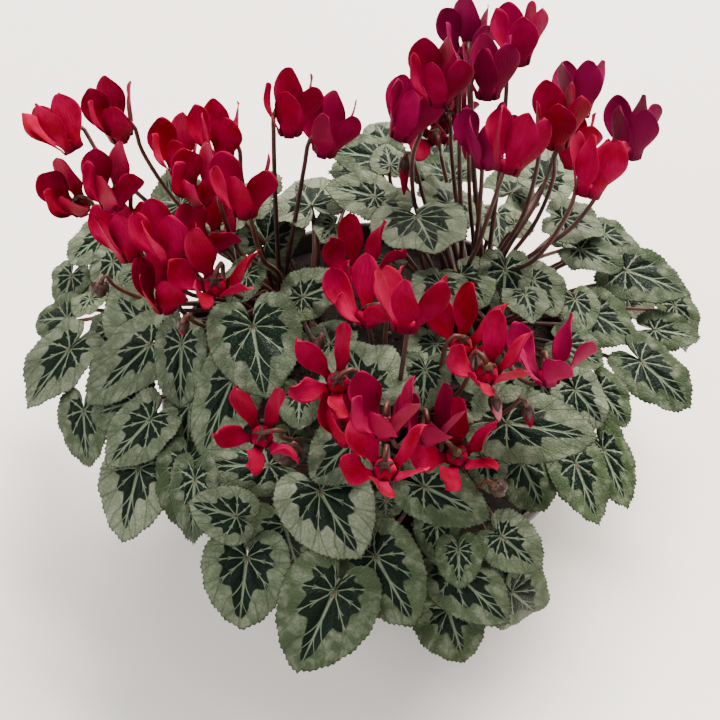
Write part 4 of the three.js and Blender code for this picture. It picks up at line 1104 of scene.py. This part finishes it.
def add_nose(bundle, flower, tone):
    """The nose: its profile turned round the flower's axis, from inside the mouth over the rim,
    with a radius that swells by 5% in five places."""
    profile = np.array(NOSE_PROFILE)
    turn = 2 * np.pi * np.arange(24) / 24
    five = 1 + 0.05 * np.cos(5 * (turn - 0.9))
    rings = in_flower(flower, profile[1:-1, :1] * five, turn[None, :], profile[1:-1, 1:])
    poles = in_flower(flower, 0.0, 0.0, profile[[0, -1], 1])
    depth = np.interp(profile[1:-1, 1], [-7, -5, -1], [0.0, 0.12, 0.4])[:, None] + 0 * turn
    place = np.stack([0 * depth, depth, 0 * depth], -1)
    add_closed(bundle, rings, poles, petal_place=(place, np.array([[0, 0, 0], [0, 0.4, 0.0]])),
               petal_tone=everywhere(tone, rings))


# %% [markdown]
# ## The flowers, one by one
#
# Each flower is a piece of its own, as it can be picked. All its petals carry the same tone
# and the same share of magenta, so that a flower looks like one growth, while its petals
# differ in their opening, bow, width and twist.

# %% Flowers of the plants
# Flowers that have turned towards magenta, by their place in the list, and how far.
VIOLET = {0: 0.0, 3: 0.2, 14: 0.5, 15: 0.6, 16: 0.3, 17: 0.9, 18: 0.8, 19: 0.4, 20: 0.9, 21: 0.2,
          23: 0.9, 26: 1.0, 27: 0.5, 34: 0.6, 37: 0.4, 39: 0.6}
total = 0
for i, flower in enumerate(flowers):
    bundle = Bundle()
    tone = np.array([draw(i, 31), VIOLET.get(i, 0.12 * draw(i, 32)), 0])
    for k in range(PETALS):
        add_petal(bundle, flower, k, tone)
    add_nose(bundle, flower, tone)
    count = bundle.piece(f"flower_{i + 1:02d}", [petal_skin], [f"bloom_{i + 1:02d}"])
    total += count
print(len(flowers), "flowers,", total, "triangles")

# %% [markdown]
# ## Flower stalks, calyxes and seed heads
#
# A flower stalk rises straight from the crown, passes the flower on its open side, bends
# over in a tight hook and comes down into the calyx: five small pointed sepals that lie on
# the nose. After flowering the same stalk carries a round seed head in the same calyx. The
# stalk is a tube along a smooth way, and a sepal is a small closed grid.

# %% Stalk ways
STALK_END = 5   # from the top of an arch down to the end of its stalk


def hook_way(flower):
    """Up from the crown to below the flower, past its nose, over and down into the calyx."""
    start, _ = crown_start(flower, CROWN)
    below = in_flower(flower, 9.0, 0.0, -13.0)
    span = np.linalg.norm(start - below)
    first = bezier(start, start + UP * 0.5 * span, below - flower["axis"] * 0.25 * span - UP * 0.1 * span, below, 4)
    hook = in_flower(flower, np.array([8.6, 5.0, 0.3]), 0.0, np.array([1.0, 5.6, 1.7]))
    return smooth_way([*first, *hook], 34)


def arch_way(bud):
    """Up from the crown, over the arch and down into a bud or seed head."""
    cx, cy = CROWNS[bud["plant"]]
    start, _ = crown_start(bud, CROWN)
    back = unit(np.array([cx - bud["arch"][0], cy - bud["arch"][1], 0.0]))
    near = bud["arch"] + back * 6 - UP * 9
    span = np.linalg.norm(start - near)
    first = bezier(start, start + UP * 0.5 * span, near - UP * 0.3 * span, near, 4)
    neck = bud["arch"] + unit(bud["tip"] - bud["arch"]) * STALK_END
    return smooth_way([*first, bud["arch"] + back * 2 + UP, neck], 30)


def add_sepals(bundle, base, axis, line_points, halves, tone):
    """Five pointed sepals round an axis: each follows points of (reach, height) and has the
    given half widths, as a thin closed loop on every row."""
    first, second = square_to(axis)
    a = np.array([-1.0, 0.0, 1.0, 1.0, 0.0, -1.0])
    face = np.array([0.1, 0.22, 0.1, -0.1, -0.22, -0.1])
    for k in range(5):
        turn = 2 * np.pi * (k + 0.3) / 5
        outward = first * math.cos(turn) + second * math.sin(turn)
        tangent = np.cross(axis, outward)
        middle = base + outward * line_points[:, :1] + axis * line_points[:, 1:]
        along = np.gradient(middle, axis=0)
        up = np.cross(tangent, along)
        up /= -np.linalg.norm(up, axis=1)[:, None]
        rings = (middle[:, None] + tangent * (halves[:, None] * a)[..., None]
                 + up[:, None] * (face - 0.3 * np.abs(a) * halves[:, None] * 0.3)[..., None])
        poles = np.stack([middle[0], middle[-1] + along[-1] * 0.3])
        add_closed(bundle, rings, poles, skin=1, tone=shares(rings, tone))


def stalk_radii(count, top, swelling, quick):
    """Radius along a stalk: top, plus 0.2 at the foot, 0.9 more in its first few mm, and a
    swelling at its end that fades the quicker the larger quick is."""
    share = np.linspace(0, 1, count)
    return top + 0.2 * (1 - share) + 0.9 * np.exp(-share * 45) + swelling * np.exp(-(1 - share) * quick)


# A flower's sepals, from the stalk outwards: (reach, height) from the seat, and half widths.
SEPAL_LINE = np.array([(0.9, 1.2), (1.7, 0.9), (2.7, 0.2), (3.6, -0.7), (4.1, -1.5)])
SEPAL_HALVES = np.array([0.6, 0.85, 0.8, 0.5, 0.15])
print("highest stalk:", round(float(max(hook_way(flower)[:, 2].max() for flower in flowers))), "mm")

# %% [markdown]
# ## Flower stalks, plant by plant
#
# One plant's flower stalks grow from one knob on its corm, so they are one piece with it,
# and the calyxes and seed heads are part of it too. The sepals of a bud are longer than
# those of a seed head, and clasp its upper half.

# %% Stalks of each plant
CROWN_PROFILE = [(0, 0), (7.6, 0), (8.4, 1.0), (8.0, 2.6), (6.4, 4.0), (3.6, 4.9), (0, 5.1)]
CALYX_PROFILE = [(0, 0.3), (2.3, 0.3), (2.2, 0.9), (1.7, 1.7), (1.2, 2.7), (0, 3.2)]
SEED_HEAD_START = 3.5   # from the top of an arch down to the seed head
for plant in CROWNS:
    bundle = Bundle()
    cx, cy = CROWNS[plant]
    crown = np.array([cx, cy, TUBER_TOP + GAP])
    add_turned(bundle, CROWN_PROFILE, 40, crown,
               ripple=lambda turn, share: 1 + 0.05 * np.sin(7 * turn + 3 * share) + 0.03 * np.sin(13 * turn))
    for flower in [f for f in flowers if f["plant"] == plant]:
        way = hook_way(flower)
        add_tube(bundle, way, stalk_radii(len(way), 1.05, 0.35, 40), 8)
        add_turned(bundle, CALYX_PROFILE, 10, flower["seat"], flower["axis"], skin=1,
                   tone=draw(flower["seed"], 36))
        add_sepals(bundle, flower["seat"], flower["axis"], SEPAL_LINE, SEPAL_HALVES, draw(flower["seed"], 37))
    for bud, long in [(item, 1.55) for item in buds] + [(item, 1.0) for item in seed_heads]:
        if bud["plant"] != plant:
            continue
        way = arch_way(bud)
        add_tube(bundle, way, stalk_radii(len(way), 0.95, 0.6, 30), 8)
        down = unit(bud["tip"] - bud["arch"])
        neck = bud["arch"] + down * STALK_END
        r = bud["radius"]
        line_points = np.array([(0.6, -0.7), (0.45 * r + 0.7, 0.0), (0.8 * r + 0.55, 1.3 * long),
                                (r + 0.4, 3.4 * long), (r + 0.25, 5.0 * long)])
        add_sepals(bundle, neck, down, line_points, np.array([0.7, 0.62 * r, 0.7 * r, 0.5 * r, 0.25]), 0.4)
    for head in [h for h in seed_heads if h["plant"] == plant]:
        down = unit(head["tip"] - head["arch"])
        rows = np.linspace(0.04, 0.97, 11)
        radii = head["radius"] * np.sin(np.pi * rows) ** 0.6
        profile = [(0, 0.0), *zip(radii, head["length"] * rows), (0, head["length"])]
        add_turned(bundle, profile, 30, head["arch"] + down * SEED_HEAD_START, down, skin=1, tone=0.9,
                   ripple=lambda turn, share: 1 - 0.05 * np.abs(np.cos(2.5 * turn)) ** 8)
    count = bundle.piece(f"flower_stalks_of_{plant}", [flower_stalk_skin, sepal_skin],
                         [f"flower_stalks_{plant}"])
    print(plant, "flower stalks:", count, "triangles")

# %% [markdown]
# ## Buds
#
# A bud is five petals rolled round each other into a pointed scroll. Turned as a plain
# spindle it would look like a seed. Here the spindle's radius falls off in five steps round
# each ring, and the steps climb in a spiral towards the tip, which draws the rolled edges.

# %% Buds
def scroll(turn, share):
    """Radius over the spindle: five saw teeth round a ring, turned further on each row."""
    place = (5 * (turn / (2 * np.pi) + 0.45 * share)) % 1
    return 1 + 0.13 * (place**1.5 - 0.4) * np.sin(np.pi * np.clip(share, 0, 1)) ** 0.4


YOUNGEST = 4   # the place in the list of the bud that is still pale
BUD_COLUMNS = 40
# Down the bud as shares of its length, and its radius there as a share of the widest.
BUD_ROWS = np.array([0.02, 0.07, 0.14, 0.22, 0.3, 0.4, 0.5, 0.6, 0.7, 0.79, 0.87, 0.93, 0.97])
BUD_RADII = np.interp(BUD_ROWS, [0, 0.1, 0.35, 0.5, 0.8, 0.95, 1], [0.4, 0.75, 1.0, 0.95, 0.58, 0.25, 0.08])
turn = 2 * np.pi * np.arange(BUD_COLUMNS) / BUD_COLUMNS
place = np.zeros((len(BUD_ROWS), BUD_COLUMNS, 3))
place[..., 0] = 0.6 * np.sin(2.5 * turn)
place[..., 1] = 0.3 + 0.7 * BUD_ROWS[:, None]
for i, bud in enumerate(buds):
    bundle = Bundle()
    down = unit(bud["tip"] - bud["arch"])
    profile = [(0, 0), *zip(bud["radius"] * BUD_RADII, bud["length"] * BUD_ROWS), (0, bud["length"])]
    rings, poles = turned_rings(profile, BUD_COLUMNS, bud["arch"] + down * (STALK_END + GAP), down, scroll)
    add_closed(bundle, rings, poles, petal_place=(place, np.array([[0, 0.3, 0], [0, 1, 0.0]])),
               petal_tone=everywhere([0.2, 0.25, 0], rings))
    skin = pale_bud_skin if i == YOUNGEST else petal_skin
    count = bundle.piece(f"rolled_bud_{i + 1}", [skin], [f"bud_{i + 1}"])
print(len(buds), "buds of", count, "triangles")

# %% [markdown]
# ## Corms and potting mix
#
# A corm is a flattened, lumpy disc, half sunk in the mix. The mix fills the bowl to 10 mm
# under its rim, swells a little to the middle and is crumbly. Its height is worked out over a
# round grid: the swell, plus sums of waves for the lumps, and under each corm the height
# drops to the corm's own underside, which is its seat.

# %% Corms
TUBER_MIDDLE = 77.0
CORM_PROFILE = [(0, -10), (5, -9.4), (10, -7.0), (14.5, -4.2), (18.6, -1.8), (20.9, 0), (21.2, 1.6),
                (20.0, 3.6), (18.0, 5.6), (15.6, 6.7), (11, 6.9), (5, 7.0), (0, 7.0)]
for plant in CROWNS:
    bundle = Bundle()
    phase = draw(len(plant), 41) * 6
    add_turned(bundle, CORM_PROFILE, 64, np.array([*CROWNS[plant], TUBER_MIDDLE]),
               ripple=lambda turn, share: (1 + 0.02 * np.sin(5 * turn + phase)
                                           + 0.015 * np.sin(11 * turn + 9 * share + phase)))
    count = bundle.piece(f"corm_{plant}", [cork_skin], [f"tuber_{plant}"])
print(len(CROWNS), "corms of", count, "triangles")

# %% [markdown]
# ## Potting mix
#
# The mix is one closed skin: low rings that follow the bowl's inside, and rings over its
# top whose height is worked out for all points at once.

# %% Potting mix
SEAT_REACH = 23.4   # reach of a corm's seat from the crown's middle


def mix_height(x, y):
    """Top of the mix: about 80 mm in the middle, falling to 78 at the wall, with lumps of
    5 to 15 mm across, and never above a corm's underside less the gap."""
    out = np.hypot(x, y)
    lumps = (0.5 * np.sin(x * 0.41 + 1.3) * np.sin(y * 0.37 + 0.4)
             + 0.35 * np.sin(x * 0.83 + y * 0.21) * np.sin(y * 0.93 - x * 0.3)
             + 0.2 * np.sin(1.7 * x + 0.5) * np.sin(1.9 * y + 2.0))
    top = 81 - 2 * np.clip((out - 63) / 35, 0, 1) + lumps - 0.6
    for cx, cy in CROWNS.values():
        away = np.hypot(x - cx, y - cy)
        seat = TUBER_MIDDLE - GAP - 1 + np.interp(away, [0, 14, 22.6, SEAT_REACH], [-10.2, -5.2, -0.6, 9.0])
        top = np.where(away < SEAT_REACH, np.minimum(top, seat), top)
    return top


bundle = Bundle()
reaches = np.concatenate([np.linspace(2, 96, 62), [98.0]])[:, None]
turn = 2 * np.pi * np.arange(150) / 150
x, y = reaches * np.cos(turn), reaches * np.sin(turn)
top = np.stack([x, y, mix_height(x, y)], -1)[::-1]
reach, height = np.array([(20, 4.4), (55, 4.4), (74.3, 4.6), (80, 22), (88, 48)]).T[..., None]
low = np.stack([reach * np.cos(turn), reach * np.sin(turn), height + 0 * turn], -1)
poles = np.array([[0, 0, height[0, 0]], [0, 0, float(mix_height(0.0, 0.0))]])
add_closed(bundle, np.concatenate([low, top]), poles)
count = bundle.piece("potting_mix_fill", [peat_skin], ["potting_mix"])
print("potting mix:", count, "triangles")

# %% [markdown]
# ## Crumbs
#
# Loose bits lie on the mix. Each is a lump with twenty faces, whose corners are those of a
# regular solid, moved in or out and squashed by numbers drawn for it. The faces are found
# as the triples of corners that lie two apart. About a third are perlite, the rest is bark.

# %% Crumbs on the mix
rng = np.random.default_rng(7)
golden = (1 + 5**0.5) / 2
corners = np.array([(0, a, b * golden) for a in (-1, 1) for b in (-1, 1)])
corners = np.concatenate([corners, corners[:, [1, 2, 0]], corners[:, [2, 0, 1]]])
apart = np.linalg.norm(corners[:, None] - corners[None], axis=-1)
near = np.abs(apart - 2) < 1e-6
i, j, k = np.meshgrid(np.arange(12), np.arange(12), np.arange(12), indexing="ij")
facets = np.stack([i, j, k], -1)[(i < j) & (j < k) & near[i, j] & near[j, k] & near[i, k]]
one, two, three = (corners[facets[:, c]] for c in range(3))
turned_in = np.einsum("ij,ij->i", np.cross(two - one, three - one), one) < 0
facets[turned_in] = facets[turned_in][:, ::-1]
CRUMBS, CRUMB_REACH, CORM_CLEAR = 420, 95, 25
out, turn = CRUMB_REACH * np.sqrt(rng.random(CRUMBS)), 2 * np.pi * rng.random(CRUMBS)
x, y = out * np.cos(turn), out * np.sin(turn)
clear = np.min([np.hypot(x - cx, y - cy) for cx, cy in CROWNS.values()], axis=0) > CORM_CLEAR
x, y = x[clear], y[clear]
size = rng.uniform(0.5, 1.5, len(x))
scale = size[:, None] * rng.uniform([0.7, 0.7, 0.5], [1.6, 1.2, 0.9], (len(x), 3))
centres = np.stack([x, y, mix_height(x, y) + 0.3 * size], -1)
lumps = centres[:, None] + corners[None] * (0.85 + 0.3 * rng.random((len(x), 12, 1))) * scale[:, None] / 1.9
offsets = 12 * np.arange(len(x))[:, None, None]
pale = rng.random(len(x)) < 0.3
bundle = Bundle()
bundle.add(lumps.reshape(-1, 3), (facets[None] + offsets).reshape(-1, 3),
           np.repeat(np.where(pale, 1, 0), len(facets)))
bundle.piece("crumbs_of_bark_and_perlite", [peat_skin, perlite_skin], ["potting_mix"])
print(len(x), "crumbs of", len(facets), "facets")

# %% [markdown]
# ## The bowl
#
# The bowl is one turned shape: flat foot, rising wall, a small rounded lip, and the same
# wall inside. A lathe in the hand leaves soft corners, so the profile rounds each of them
# with a few points, and 144 columns keep the rim round in a close view.

# %% Bowl
BOWL_PROFILE = [(0, 0.7), (40, 0.7), (66, 0.7), (68.5, 0.1), (74.5, 0.0), (76.6, 0.5), (78.0, 1.8),
                (79.2, 4.6), (83.4, 18), (87.9, 32), (92.4, 46), (96.9, 60), (101.2, 73.6),
                (102.6, 78.2), (103.4, 80.0), (104.7, 81.1), (105.6, 82.2), (105.95, 83.6),
                (105.95, 85.4), (105.5, 86.8), (104.7, 87.7), (103.7, 88.0), (102.9, 87.8),
                (102.4, 87.0), (101.9, 84.5), (98.4, 74), (92, 55), (84, 31), (76.6, 9.2),
                (75.0, 5.6), (73.2, 4.3), (60, 4.0), (30, 4.0), (0, 4.0)]
bundle = Bundle()
add_turned(bundle, BOWL_PROFILE, 144, np.zeros(3))
count = bundle.piece("stoneware_bowl", [glaze_skin], ["pot"])
print("bowl:", count, "triangles")

# %% [markdown]
# ## Floor and light
#
# The plant stands on a plain pale floor. The light is a plain studio's: a broad soft lamp
# high on the right and behind, so that shade falls to the lower left, a wide weak one at the
# left to open the shade, and a pale surround.

# %% Floor, lamps and surround
floor_skin, shader, place = new_skin("painted studio floor", Roughness=0.75)
cloud = noise(floor_skin, place, 400, 3)
paint(floor_skin, shader, Base_Color=mixed(floor_skin, cloud, "#f6efe8", "#fbf8f5"))
raise_it(floor_skin, shader, noise(floor_skin, place, 2, 3), 0.05)
EDGE = 3.0   # metres from the middle to a side
floor_mesh = bpy.data.meshes.new("floor")
floor_mesh.from_pydata([(-EDGE, -EDGE, 0), (EDGE, -EDGE, 0), (EDGE, EDGE, 0), (-EDGE, EDGE, 0)], [], [(0, 1, 2, 3)])
floor_mesh.materials.append(floor_skin)
floor = bpy.data.objects.new("floor", floor_mesh)
bpy.context.scene.collection.objects.link(floor)


def add_lamp(name, place, aim, size, watts, colour):
    """A square area lamp at a place, turned to face a point, both in metres."""
    lamp = bpy.data.lights.new(name, "AREA")
    lamp.shape, lamp.size, lamp.energy, lamp.color = "SQUARE", size, watts, linear(colour)[:3]
    made = bpy.data.objects.new(name, lamp)
    way = np.array(aim, float) - np.array(place, float)
    flat = math.hypot(way[0], way[1])
    made.location = place
    made.rotation_euler = (math.atan2(flat, -way[2]), 0, math.atan2(way[1], way[0]) - math.pi / 2)
    bpy.context.scene.collection.objects.link(made)


add_lamp("soft lamp, right and behind", (0.9, 1.7, 2.5), (0, 0, 0.1), 2.0, 400, "#fff6ee")
add_lamp("wide weak lamp, left", (-1.8, -0.9, 1.8), (0, 0, 0.1), 1.8, 60, "#f8f6f4")
world = bpy.data.worlds.new("pale surround")
world.use_nodes = True
sky = world.node_tree.nodes["Background"]
sky.inputs["Color"].default_value = linear("#f2eeea")
sky.inputs["Strength"].default_value = 0.82
bpy.context.scene.world = world
print("floor, 2 lamps and a surround")
